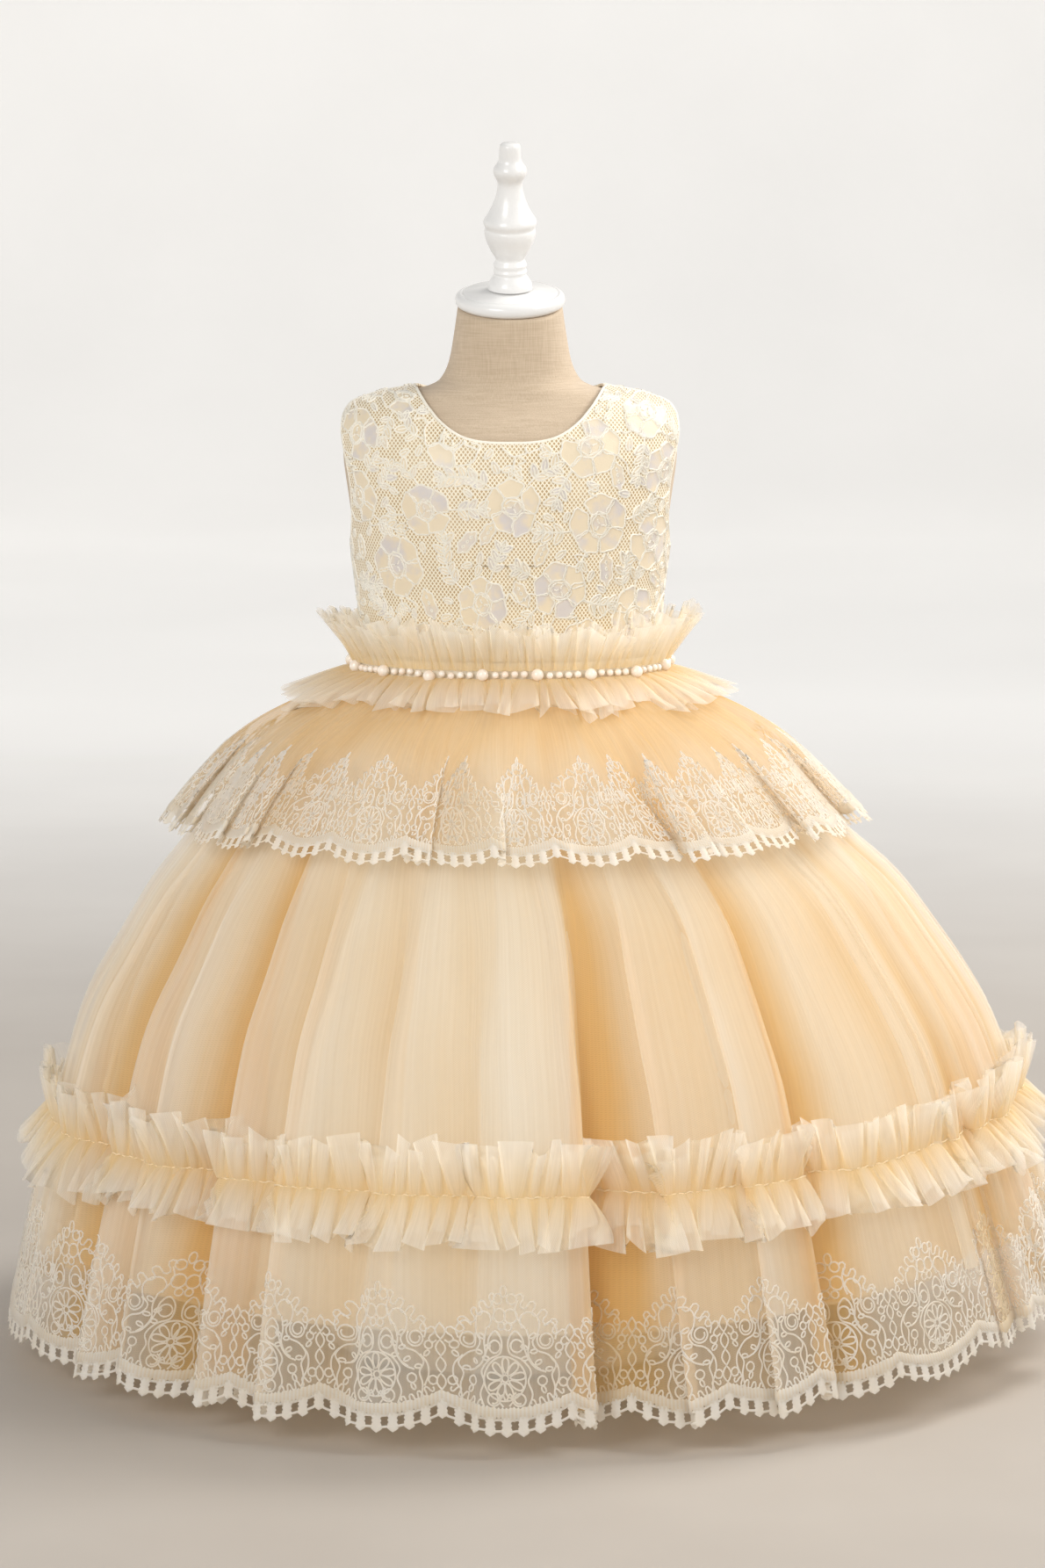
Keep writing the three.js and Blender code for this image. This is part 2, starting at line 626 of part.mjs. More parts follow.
const layerRow = (surface, angles, heightAt, wall) => ({
  at: angles,
  outer: angles.map((angle, i) => surface(angle, heightAt(i))),
  inner: angles.map((angle, i) => movedOut(surface, angle, heightAt(i), -wall)),
});

// How high a scalloped edge rises at a share 0..1 of its repeat: 0 at the middle, full at both points.
const scallop = (share, height) => height * (1 - Math.sin(Math.PI * share) ** 0.8);

// One half of the outer skirt, with the widest ladder gaps of each lace repeat cut through above its hem.
function overskirtHalf(from, to) {
  const coarse = foldAngles(SKIRT_FOLDS, from, to, 14);
  const heights = [404.7, 393, 372, 333, 276, 205, 120, 36];
  const rows = heights.map((z) => layerRow(overskirt, coarse, () => z, TULLE));
  const { total, angleAt } = edgeLength(overskirt, 0, from, to);
  const repeats = Math.round(total / SCALLOP_LENGTH);
  const repeat = total / repeats;
  const barShare = LADDER_BAR / 2 / repeat;
  const gapShare = barShare + LADDER_GAP / repeat;
  const shares = [barShare, gapShare, 0.5, 1 - gapShare, 1 - barShare];
  const spots = [0];
  for (let n = 0; n < repeats; n += 1) spots.push(...shares.map((share) => n + share));
  spots.push(repeats);
  const fine = spots.map((spot) => angleAt(spot * repeat));
  fine[0] = from;
  fine[fine.length - 1] = to;
  const edge = spots.map((spot) => scallop(spot - Math.floor(spot), SCALLOP_HEIGHT));
  for (const above of [LADDER_EDGE + LADDER_GAP, LADDER_EDGE, 0]) {
    rows.push(layerRow(overskirt, fine, (i) => edge[i] + above, TULLE));
  }
  const gapStrip = heights.length;
  const isGap = (strip, column) => strip === gapStrip && [1, 4].includes(column % shares.length)
    && column > 0 && column < fine.length - 1;
  return wallGeometry(rows, { isHole: isGap });
}

// A gathered layer that runs all round, with or without a scalloped edge.
function fullLayer(surface, folds, heights, step, scallops) {
  const coarse = foldAngles(folds, -180, 180, step).slice(0, -1);
  const rows = heights.map((z) => layerRow(surface, coarse, () => z, TULLE));
  if (scallops) {
    const { total, angleAt } = edgeLength(surface, scallops.hem, -180, 180);
    const pointsEach = 4;
    const count = pointsEach * Math.round(total / scallops.length);
    const fine = Array.from({ length: count }, (_, i) => angleAt((total * i) / count));
    const rise = (i) => scallops.hem + scallop((i % pointsEach) / pointsEach, scallops.height);
    rows.push(layerRow(surface, fine, rise, TULLE));
  }
  return wallGeometry(rows, { closed: true });
}

function addSkirts() {
  const seamGap = 0.035; // degrees kept from each side seam
  addMesh(part, 'overskirt_front', overskirtHalf(-90 + seamGap, 90 - seamGap), COLOUR.tulle, 0.7);
  addMesh(part, 'overskirt_back', overskirtHalf(90 + seamGap, 270 - seamGap), COLOUR.tulle, 0.7);
  const liningHem = UNDERSKIRT_HEM - HEM;
  const lining = fullLayer(underskirt, [], [404.7, 393, 372, 333, 270, 185, liningHem], 12);
  addMesh(part, 'underskirt', lining, COLOUR.lining, 0.6);
  const peplumEdge = { hem: PEPLUM_HEM - HEM, length: PEPLUM_SCALLOP_LENGTH, height: PEPLUM_SCALLOP_HEIGHT };
  const peplumLayer = fullLayer(peplum, PEPLUM_FOLDS, [404.7, 393, 372, 333], 12, peplumEdge);
  addMesh(part, 'peplum', peplumLayer, COLOUR.border, 0.7);
}

// ---------------------------------------------------------------- waist band, strand and frills

// A point round the waist, outside the body by a distance.
function waistPoint(angle, z, distance) {
  const p = movedOut(body, angle, WAIST, distance);
  return p.setZ(z);
}

function addWaist() {
  const bandInner = BODICE_EASE + 0.6;
  const bandOuter = bandInner + BAND_WALL;
  const [low, high] = [WAIST - BAND_HEIGHT / 2, WAIST + BAND_HEIGHT / 2];
  const band = ringGeometry(30, (angle) => [
    waistPoint(angle, low, bandOuter), waistPoint(angle, high, bandOuter),
    waistPoint(angle, high, bandInner), waistPoint(angle, low, bandInner),
  ]);
  addMesh(part, 'waist_band', band, COLOUR.lining, 0.5);

  const strandRadius = 1.9;
  const strandSides = 5;
  const strand = ringGeometry(30, (angle) => Array.from({ length: strandSides }, (_, k) => {
    const turn = (-2 * Math.PI * (k + 0.5)) / strandSides;
    const reach = bandOuter + SEAM + strandRadius * (1 + Math.cos(turn));
    return waistPoint(angle, WAIST - strandRadius * Math.sin(turn), reach);
  }));
  addMesh(part, 'pearl_strand', strand, COLOUR.pearl, 0.25);

  // Frills: rows of distance from the body, height from the strand and how much the ruffles show there.
  const wall = 1;
  const ruffled = (waves, rows) => {
    const samples = 3;
    const angles = Array.from({ length: samples * waves }, (_, i) => (360 * i) / (samples * waves));
    const ruffle = [0, 1, 0.35];
    return rows.map(({ out, rise, wave }) => {
      const reach = (i, extra) => out + wave * ruffle[i % samples] + extra;
      const upright = Math.sign(rise) * (wave ? 0.4 * wave : 0);
      const point = (extra, drop) => angles.map((angle, i) => (
        waistPoint(angle, WAIST + rise + drop + upright * ruffle[(i + 1) % samples], reach(i, extra))
      ));
      return { at: angles, outer: point(wall, 0), inner: point(0, rise < 0 ? -0.6 : 0) };
    });
  };
  const root = bandOuter + SEAM;
  const upper = [
    { out: root + 11, rise: 25, wave: 6 }, { out: root + 5, rise: 13, wave: 2.5 }, { out: root, rise: 2.4, wave: 0 },
  ];
  const lower = [
    { out: root, rise: -2.4, wave: 0 }, { out: root + 14, rise: -7, wave: 2 }, { out: root + 33, rise: -15.5, wave: 3 },
  ];
  addMesh(part, 'waist_frill_upper', wallGeometry(ruffled(28, upper), { closed: true }), COLOUR.tulle, 0.75);
  addMesh(part, 'waist_frill_lower', wallGeometry(ruffled(28, lower), { closed: true }), COLOUR.tulle, 0.75);
}

// ---------------------------------------------------------------- skirt frill

// The skirt where the frill bridges its deep folds a little.
const frillBase = (angle, z) => gathered(angle, z, SKIRT_FOLDS, 0.7 * skirtGrow(z), 0);

// A frill sewn to the outer skirt: its rows lie on the skirt's points, moved out, and it closes up in deep folds.
function skirtFrill(rows) {
  const samples = 3;
  const ruffle = [0, 1, 0.3];
  const z = SKIRT_SEAM - HEM;
  const angles = foldAngles(SKIRT_FOLDS, -180, 180, 3).slice(0, -1);
  const wall = 1;
  const clear = 1.2;
  return wallGeometry(rows.map(({ rise, out, wave }) => {
    const distance = (i) => {
      const { share } = foldAt(SKIRT_FOLDS, angles[i]);
      const open = 1 - Math.min(1, 1.6 * share);
      return clear + (out + wave * ruffle[i % samples]) * open;
    };
    return {
      at: angles,
      outer: angles.map((angle, i) => movedOut(frillBase, angle, z + rise, distance(i) + wall)),
      inner: angles.map((angle, i) => movedOut(frillBase, angle, z + rise, distance(i))),
    };
  }), { closed: true });
}

function addSkirtFrills() {
  const upper = [{ rise: 26, out: 9, wave: 7 }, { rise: 0.6, out: 0, wave: 0 }];
  const lower = [{ rise: -0.6, out: 0, wave: 0 }, { rise: -29, out: 10, wave: 8 }];
  addMesh(part, 'skirt_frill_upper', skirtFrill(upper), COLOUR.tulle, 0.75);
  addMesh(part, 'skirt_frill_lower', skirtFrill(lower), COLOUR.tulle, 0.75);
}

addForm();
addBodice();
addZip();
addSkirts();
addWaist();
addSkirtFrills();

export default part;
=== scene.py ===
import math

import bpy
import numpy as np
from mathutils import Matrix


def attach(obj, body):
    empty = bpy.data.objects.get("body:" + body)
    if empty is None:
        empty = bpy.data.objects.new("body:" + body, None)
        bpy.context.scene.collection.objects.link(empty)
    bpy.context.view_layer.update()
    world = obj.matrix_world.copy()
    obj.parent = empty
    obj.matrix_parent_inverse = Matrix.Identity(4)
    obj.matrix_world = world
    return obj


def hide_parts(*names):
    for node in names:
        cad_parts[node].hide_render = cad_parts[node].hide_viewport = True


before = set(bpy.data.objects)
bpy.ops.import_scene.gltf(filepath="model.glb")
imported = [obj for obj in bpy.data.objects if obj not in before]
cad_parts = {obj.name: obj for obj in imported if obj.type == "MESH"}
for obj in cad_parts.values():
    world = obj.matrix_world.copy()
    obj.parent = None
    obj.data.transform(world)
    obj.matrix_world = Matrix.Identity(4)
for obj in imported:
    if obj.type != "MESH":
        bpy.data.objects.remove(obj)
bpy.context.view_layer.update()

MM = 0.001

# ---------------------------------------------------------------- sizes shared with the CAD

SEAM = 0.3  # gap between two pieces that meet
SATIN, BODICE_EASE, SHOULDER_EASE = 1.6, 1.2, 1.2
HEM, WAIST, BAND_HEIGHT, BAND_WALL = 14, 426, 14, 3.4
ARMPIT, SHOULDER_TIP, NECK_POINT, NECK_FRONT, NECK_BACK = 500, 583, 594.5, 563, 584
NECK_HALF_WIDTH, NECK_POWER, ARMHOLE_SCOOP = 57, 3.2, 20
BODY_POWER = 0.92
NECK_TILT, NECK_TOP, NECK_START, NECK_TOP_SHIFT = 13.5, 645, 600, -10
UNDERSKIRT_HEM, UNDERSKIRT_INSET = 64, 37
SKIRT_SEAM, RIGHT_LIFT, CREST = 148, 24, 404.7
SCALLOP_LENGTH, SCALLOP_HEIGHT = 77, 9
PEPLUM_HEM, PEPLUM_SCALLOP_LENGTH, PEPLUM_SCALLOP_HEIGHT = 325, 52, 6

# height, half width, depth to the front, depth to the back, shift in Y
BODY = [
    (256, 84, 68, 66, 0), (300, 93, 77, 79, 0), (350, 95, 79, 83, 0), (395, 92, 76, 76, 0),
    (426, 90, 73, 70, 0), (460, 91, 74, 71, 0), (500, 95.5, 76, 74, 0), (530, 99.5, 76, 77, 0),
    (553, 102.5, 71, 77, 0),
    (567, 103, 64, 73, 0), (577, 100.5, 56, 66, 0), (583, 95.5, 50, 59, 0), (588, 83, 46, 52, 0),
    (592, 68.5, 43, 47, -1), (595, 55.5, 41, 44, -2), (600, 43.5, 38, 40, -3), (612, 37.5, 35.5, 36, -5),
    (628, 34.5, 33.5, 33.5, -8), (645, 32, 32, 32, -10),
]
# height above the hem, half width, half depth, shift in X
SKIRT = [
    (404.7, 97, 80, 0), (393, 117, 99, 0), (376, 143, 124, 0), (343, 176, 156, 1), (310, 204, 181, 4),
    (276, 236, 209, 9), (243, 258, 231, 11), (213, 277, 250, 12), (186, 290, 264, 14), (134, 306, 283, 16),
    (60, 327, 298, 18), (0, 341, 306, 20),
]
# angle, half width, depth, degrees that the fold leans over
SKIRT_FOLDS = [
    (-154, 5.5, 26, 3), (-127, 5, 24, -3), (-103, 4.5, 20, 2), (-61, 5, 22, 3.5), (-42, 5, 28, 4),
    (9.5, 4.6, 28, -3.5), (34, 3.6, 14, -2), (58, 4.2, 13, 2), (80, 4.6, 22, -3), (106, 5, 24, 3),
    (131, 5, 22, -3), (158, 5.5, 26, 3),
]
PEPLUM_FOLDS = [
    (-162, 8, 9, 5), (-128, 8, 9, -5), (-70, 8, 8, -5), (-41, 8, 9, -5), (-7, 7, 9, -5), (22, 7, 7, 3),
    (49, 8, 9, 5), (72, 7, 7, 4), (118, 8, 9, 5), (155, 8, 9, -5),
]

# ---------------------------------------------------------------- surfaces


def smooth(x, start, end):
    """0 before start and 1 after end, with a soft step between them."""
    t = np.clip((np.asarray(x, float) - start) / (end - start), 0, 1)
    return t * t * (3 - 2 * t)


def mix(a, b, t):
    return a + (b - a) * t


def arrays(*values):
    """The values as number arrays of one shape."""
    return np.broadcast_arrays(*(np.asarray(value, float) for value in values))


def run_length(points):
    """The length of a line of points up to each of them."""
    return np.concatenate([[0], np.cumsum(np.linalg.norm(np.diff(points, axis=0), axis=-1))])


def signed_power(value, power):
    return np.sign(value) * np.abs(value) ** power


def table_curve(rows):
    """A smooth curve through a table's rows, monotone between them, as the CAD draws it."""
    rows = np.array(sorted(rows), float)
    z, v = rows[:, 0], rows[:, 1:]
    step = np.diff(v, axis=0) / np.diff(z)[:, None]
    slope = np.empty_like(v)
    slope[0], slope[-1] = step[0], step[-1]
    a, b = step[:-1], step[1:]
    total = np.where(a + b == 0, 1, a + b)
    slope[1:-1] = np.where(a * b <= 0, 0, 2 * a * b / total)

    def at(height):
        q = np.asarray(height, float)
        i = np.clip(np.searchsorted(z, q, side="left") - 1, 0, len(z) - 2)
        span = (z[i + 1] - z[i])[..., None]
        t = np.clip((q[..., None] - z[i][..., None]) / span, 0, 1)
        return (
            (2 * t**3 - 3 * t**2 + 1) * v[i]
            + (t**3 - 2 * t**2 + t) * slope[i] * span
            + (-2 * t**3 + 3 * t**2) * v[i + 1]
            + (t**3 - t**2) * slope[i + 1] * span
        )

    return at


body_at, skirt_at = table_curve(BODY), table_curve(SKIRT)


def body(angle, z):
    """The dress form's surface: angle 0 at the front, which is -Y, and 90 at +X."""
    angle, z = arrays(angle, z)
    width, front, back, shift = np.moveaxis(body_at(z), -1, 0)
    a = np.radians(angle)
    depth = np.where(np.cos(a) > 0, front, back)
    x = width * signed_power(np.sin(a), BODY_POWER)
    y = shift - depth * signed_power(np.cos(a), BODY_POWER)
    return np.stack([x, y, z], -1)


def normal(surface, angle, z, step_angle=0.2, step_z=0.4):
    along = surface(angle + step_angle, z) - surface(angle - step_angle, z)
    up = surface(angle, z + step_z) - surface(angle, z - step_z)
    n = np.cross(along, up)
    return n / np.maximum(np.linalg.norm(n, axis=-1, keepdims=True), 1e-9)


def moved_out(surface, angle, z, distance):
    """A surface's point, moved out of it by a distance."""
    angle, z = arrays(angle, z)
    distance = np.broadcast_to(np.asarray(distance, float), angle.shape)
    return surface(angle, z) + normal(surface, angle, z) * distance[..., None]


def eased_body(angle, z):
    """The surface the bodice is fitted to: a little off the form, and more so over the shoulders."""
    bridging = smooth(z, 540, 565) * smooth(z, NECK_POINT, 588)
    return moved_out(body, angle, z, BODICE_EASE + SHOULDER_EASE * bridging)


def fold_at(folds, angle):
    """Share of the fold at each angle, with that fold's depth and lean."""
    share = np.zeros_like(angle)
    depth = np.zeros_like(angle)
    lean = np.zeros_like(angle)
    for at, half, fold_depth, fold_lean in folds:
        away = (angle - at + 180) % 360 - 180
        here = np.abs(away) < half
        share = np.where(here, np.cos(np.pi * away / (2 * half)) ** 2, share)
        depth = np.where(here, fold_depth, depth)
        lean = np.where(here, fold_lean, lean)
    return share, depth, lean


def gathered(angle, z, folds, grow, inset, over=1.0):
    """A skirt's point, as in the CAD. `over` leans the folds further, until the cloth laps over itself."""
    angle, z = arrays(angle, z)
    width, depth, shift = np.moveaxis(skirt_at(z), -1, 0)
    share, fold_depth, lean = fold_at(folds, angle)
    a = np.radians(angle + lean * share * grow * over)
    dent = inset + fold_depth * share * grow
    fall = np.clip(1 - z / CREST, 0, 1)
    lift = RIGHT_LIFT * np.maximum(0, np.sin(a)) ** 2 * fall**1.5
    power = mix(BODY_POWER, 1, smooth(z, CREST, CREST - 60))
    x = shift + (width - dent) * signed_power(np.sin(a), power)
    y = -(depth - dent) * signed_power(np.cos(a), power)
    return np.stack([x, y, HEM + z + lift], -1)


def wobble(angle, seed, terms=(2, 3, 5, 7)):
    """A slow, repeating, irregular curve round the body, from about -1 to 1."""
    local = np.random.default_rng(seed)
    total = np.zeros_like(np.asarray(angle, float))
    for n in terms:
        total = total + np.sin(np.radians(n * angle) + local.uniform(0, 2 * np.pi)) / math.sqrt(len(terms))
    return total


def flutes(angle, z, seed, count, turn=2.2, drift=0.6):
    """Soft irregular waves that run down the cloth, from -1 to 1."""
    phase = np.radians(count * angle) + turn * wobble(angle, seed) + drift * wobble(angle, seed + 1) * z / 100
    strength = 0.68 + 0.32 * wobble(angle, seed + 2, (4, 9, 13))
    return np.sin(phase) * strength


# The waves in the skirt's net: how many go round, how far they wander, their depth and how far they slide.
BROAD, MIDDLE, FINE = (31, 2.2, 4.0, 2.7), (67, 3.0, 0.9, 0.5), (131, 3.5, 0.8, 0.2)


def skirt_shell(inset, seed, over, depth_share=1.0):
    """A tulle shell of the skirt: deep folds, broad flutes below and fine gathers at the waist."""

    def surface(angle, z):
        angle, z = arrays(angle, z)
        grow = smooth(z, CREST + 40, 60) * depth_share
        fall = smooth(z, CREST, 250)
        broad = flutes(angle, z, seed, *BROAD[:2]) * fall
        middle = flutes(angle, z, seed + 20, *MIDDLE[:2]) * smooth(z, CREST, 340)
        middle = middle * (1 - 0.55 * smooth(z, 300, 60))
        near_waist = smooth(z, 300, CREST - 8)
        fine = flutes(angle, z, seed + 40, *FINE[:2]) * near_waist * smooth(z, CREST + 4, CREST - 20)
        dent = inset + BROAD[2] * (1 + broad) * fall + MIDDLE[2] * (1 + middle) + FINE[2] * (1 + fine)
        slide = BROAD[3] * broad * fall + MIDDLE[3] * middle + FINE[3] * fine
        return gathered(angle + slide, z, SKIRT_FOLDS, grow, dent, over)

    return surface


outer_skirt = skirt_shell(0.2, 3, 1.7)
inner_skirt = skirt_shell(6.5, 57, 1.5, 0.8)


def lining(angle, z):
    """The lining under the net, which hangs almost straight."""
    fall = smooth(z, CREST, CREST - 190)
    ripple = 1.6 * flutes(angle, z, 91, 23) * fall
    return gathered(angle, z, [], 0, mix(3.4, UNDERSKIRT_INSET, fall) + ripple)


def peplum(angle, z):
    """The flared tier of net under the waist, outside the skirt."""
    angle, z = arrays(angle, z)
    fall = smooth(z, CREST, CREST - 45)
    grow = smooth(z, CREST, PEPLUM_HEM - HEM)
    broad = flutes(angle, z, 131, 29, 1.8) * grow
    fine = flutes(angle, z, 151, 97, 3.0) * smooth(z, 320, CREST - 8) * smooth(z, CREST + 4, CREST - 16)
    rise = mix(2.8, 17.5, fall) + 4.6 * broad + 0.9 * fine
    return gathered(angle + 3.0 * broad + 0.3 * fine, z, PEPLUM_FOLDS, 1.6 * grow, -rise, 1.5)


# ---------------------------------------------------------------- meshes


def link(ob):
    bpy.context.scene.collection.objects.link(ob)


def lathe(section, segments):
    """Rings of points, (rows, segments, 3), from a section of radii and heights."""
    section = np.asarray(section, float)
    turn = 2 * np.pi * np.arange(segments) / segments
    return np.stack([
        section[:, :1] * np.cos(turn), section[:, :1] * np.sin(turn), np.repeat(section[:, 1:], segments, 1),
    ], -1)


def fan(centre, ring, flip=False):
    """Triangles that close a ring of points with the point `centre`."""
    after = np.roll(ring, -1)
    sides = (after, ring) if flip else (ring, after)
    return np.stack([np.full(len(ring), centre), *sides], -1)


def new_piece(
    name, verts, quads, tris=None, uv=None, painted_shade=None, material=None, slot=None, replaces=(),
):
    """A mesh piece from points in millimetres. uv holds one pair for each corner of each face, and the
    painted shade
    one number for each point: 0 on a fold's crest and 1 at its bottom, where shade is painted into the
    cloth's colour."""
    quads = np.asarray(quads, np.int32).reshape(-1, 4)
    tris = np.zeros((0, 3), np.int32) if tris is None else np.asarray(tris, np.int32).reshape(-1, 3)
    loops = np.concatenate([quads.ravel(), tris.ravel()])
    starts = np.concatenate([np.arange(len(quads)) * 4, len(quads) * 4 + np.arange(len(tris)) * 3])
    me = bpy.data.meshes.new(name)
    me.vertices.add(len(verts))
    me.vertices.foreach_set("co", (np.asarray(verts, float) * MM).astype(np.float32).ravel())
    me.loops.add(len(loops))
    me.loops.foreach_set("vertex_index", loops.astype(np.int32))
    me.polygons.add(len(starts))
    me.polygons.foreach_set("loop_start", starts.astype(np.int32))
    me.polygons.foreach_set("use_smooth", np.ones(len(starts), bool))
    me.update(calc_edges=True)
    if uv is not None:
        layer = me.uv_layers.new(name="flat")
        layer.data.foreach_set("uv", np.asarray(uv, np.float32).ravel())
    if painted_shade is not None:
        depth = me.attributes.new("painted_shade", "FLOAT", "POINT")
        depth.data.foreach_set("value", np.asarray(painted_shade, np.float32).ravel())
    ob = bpy.data.objects.new(name, me)
    link(ob)
    me.materials.append(material)
    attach(ob, "root")
    if replaces:
        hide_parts(*replaces)
    return ob


def grid_quads(rows, columns, closed=False, offset=0):
    """Faces of a grid of points, row by row, or of a tube of them where it is closed."""
    r = np.arange(rows - 1)[:, None]
    c = np.arange(columns if closed else columns - 1)[None, :]
    n = (c + 1) % columns
    a, b, d, e = r * columns + c, r * columns + n, (r + 1) * columns + c, (r + 1) * columns + n
    return np.stack([a, d, e, b], -1).reshape(-1, 4) + offset


def grid_uv(u, v, closed=False):
    """Corner coordinates of grid_quads; u and v are (rows, columns), and one more column closes a ring."""
    if closed:
        step = u[:, -1:] + (u[:, -1:] - u[:, -2:-1])
        u, v = np.concatenate([u, step], 1), np.concatenate([v, v[:, :1]], 1)
    uv = np.stack([u, v], -1)
    return np.stack([uv[:-1, :-1], uv[1:, :-1], uv[1:, 1:], uv[:-1, 1:]], 2).reshape(-1, 2)


def ring_columns(count):
    return -180 + 360 * np.arange(count) / count


def hollows(points, reach, window):
    """How deep each point of a ring of cloth lies behind the crests within `window` columns, over `reach`."""
    out = np.linalg.norm(points[..., :2], axis=-1)
    crest = out
    for step in range(1, window + 1):
        crest = np.maximum.reduce([crest, np.roll(out, step, 1), np.roll(out, -step, 1)])
    return np.clip((crest - out) / reach, 0, 1)


# How far behind the crests a fold's painted shade reaches its full depth.
HOLLOW_REACH = 17.0


def shell_piece(name, surface, heights, columns, hem=None, width=None, waist_shade=0.0, **kwargs):
    """A ring of cloth from rows of heights. `hem` gives the last row's height at each angle, and the waist
    shade how much painted shade darkens its colour near the waist."""
    angles = ring_columns(columns)
    z = np.repeat(np.asarray(heights, float)[:, None], columns, 1)
    if hem is not None:
        edge = hem(angles)
        low = z[-1].copy()
        near = np.clip((heights[0] - z) / (heights[0] - low), 0, 1) ** 6
        z = z + near * (edge - low)
    points = surface(np.repeat(angles[None], len(heights), 0), z)
    lengths = np.linalg.norm(np.diff(points, axis=0), axis=-1)
    down = np.concatenate([np.zeros((1, columns)), np.cumsum(lengths, 0)])
    across = np.repeat(((angles + 180) / 360 * (width or 2000.0))[None], len(heights), 0)
    quads = grid_quads(len(heights), columns, True)
    uv = grid_uv(across * MM, -down * MM, True)
    # Painted shade: the colour is darkened where the cloth lies behind the crests of its folds, and near the
    # waist.
    painted_shade = hollows(points, HOLLOW_REACH, columns // 36)
    painted_shade = np.minimum(1, painted_shade + waist_shade * smooth(z, heights[-1] + 12, heights[0] - 8))
    return new_piece(name, points.reshape(-1, 3), quads, uv=uv, painted_shade=painted_shade, **kwargs)


def tubes(lines, normals, half_width, height, base=0.0):
    """Half-round cords along lines of points. Each line's points and outward normals are arrays (n, 3)."""
    verts, quads, at = [], [], 0
    for points, out in zip(lines, normals):
        if len(points) < 2:
            continue
        run = np.gradient(points, axis=0)
        side = np.cross(out, run)
        side /= np.maximum(np.linalg.norm(side, axis=-1, keepdims=True), 1e-9)
        foot = points + out * base
        ring = np.stack([foot - side * half_width, foot + out * height, foot + side * half_width], 1)
        n = len(points)
        verts.append(ring.reshape(-1, 3))
        i = np.arange(n - 1)[:, None] * 3 + at
        k = np.arange(2)[None, :]
        quads.append(np.stack([i + k, i + k + 1, i + k + 4, i + k + 3], -1).reshape(-1, 4))
        at += 3 * n
    return np.concatenate(verts), np.concatenate(quads)


# ---------------------------------------------------------------- materials


# How fine the weaves are, as scales of Blender's wave texture on cloth measured in metres.
NET, SATIN_WEAVE, DIAMOND_NET, CORD_TWIST = 480.0, 520.0, 240.0, 420.0


class Nodes:
    """Short calls for building one material's nodes."""

    def __init__(self, name):
        self.material = bpy.data.materials.new(name)
        self.material.use_nodes = True
        self.tree = self.material.node_tree
        self.tree.nodes.clear()
        self.out = self.add("ShaderNodeOutputMaterial")

    def add(self, kind, inputs=None, **settings):
        node = self.tree.nodes.new(kind)
        for key, value in settings.items():
            setattr(node, key, value)
        for key, value in (inputs or {}).items():
            if isinstance(value, bpy.types.NodeSocket):
                self.tree.links.new(value, node.inputs[key])
            else:
                node.inputs[key].default_value = value
        return node

    def flat(self, scale=(1, 1, 1)):
        source = self.add("ShaderNodeUVMap", uv_map="flat").outputs[0]
        return self.add("ShaderNodeMapping", {"Vector": source, "Scale": scale}).outputs[0]

    def place(self, scale=(1, 1, 1)):
        source = self.add("ShaderNodeTexCoord").outputs["Object"]
        return self.add("ShaderNodeMapping", {"Vector": source, "Scale": scale}).outputs[0]

    def noise(self, vector, scale, detail=3.0, roughness=0.55):
        return self.add(
            "ShaderNodeTexNoise", {"Vector": vector, "Scale": scale, "Detail": detail, "Roughness": roughness}
        ).outputs["Fac"]

    def wave(self, vector, scale, direction="X", distortion=0.0):
        return self.add(
            "ShaderNodeTexWave", {"Vector": vector, "Scale": scale, "Distortion": distortion},
            bands_direction=direction,
        ).outputs["Fac"]

    def range(self, value, low, high, to_low=0.0, to_high=1.0):
        return self.add(
            "ShaderNodeMapRange",
            {"Value": value, "From Min": low, "From Max": high, "To Min": to_low, "To Max": to_high},
        ).outputs[0]

    def math(self, operation, a, b=0.0):
        return self.add("ShaderNodeMath", {0: a, 1: b}, operation=operation).outputs[0]

    def blend(self, factor, a, b):
        node = self.add("ShaderNodeMix", data_type="RGBA")
        for key, value in ((0, factor), (6, a), (7, b)):
            if isinstance(value, bpy.types.NodeSocket):
                self.tree.links.new(value, node.inputs[key])
            else:
                node.inputs[key].default_value = value
        return node.outputs[2]

    def bump(self, height, distance, strength=0.6):
        return self.add(
            "ShaderNodeBump", {"Height": height, "Distance": distance, "Strength": strength}
        ).outputs[0]

    def solid(self, colour, roughness, bump=None, **settings):
        """A Principled shader. Its other settings are named with _ for a space, as in Coat_Weight=0.3."""
        inputs = {name.replace("_", " "): value for name, value in settings.items()}
        if bump is not None:
            inputs["Normal"] = bump
        inputs.update({"Base Color": colour, "Roughness": roughness})
        return self.add("ShaderNodeBsdfPrincipled", inputs).outputs[0]

    def lit_through(self, share, front, colour):
        """The shader `front` with a share of light that comes through the cloth."""
        lit = self.add("ShaderNodeBsdfTranslucent", {"Color": colour}).outputs[0]
        return self.add("ShaderNodeMixShader", {0: share, 1: front, 2: lit}).outputs[0]

    def finish(self, shader):
        self.tree.links.new(shader, self.out.inputs["Surface"])
        return self.material


def rgb(r, g, b):
    return (r, g, b, 1.0)


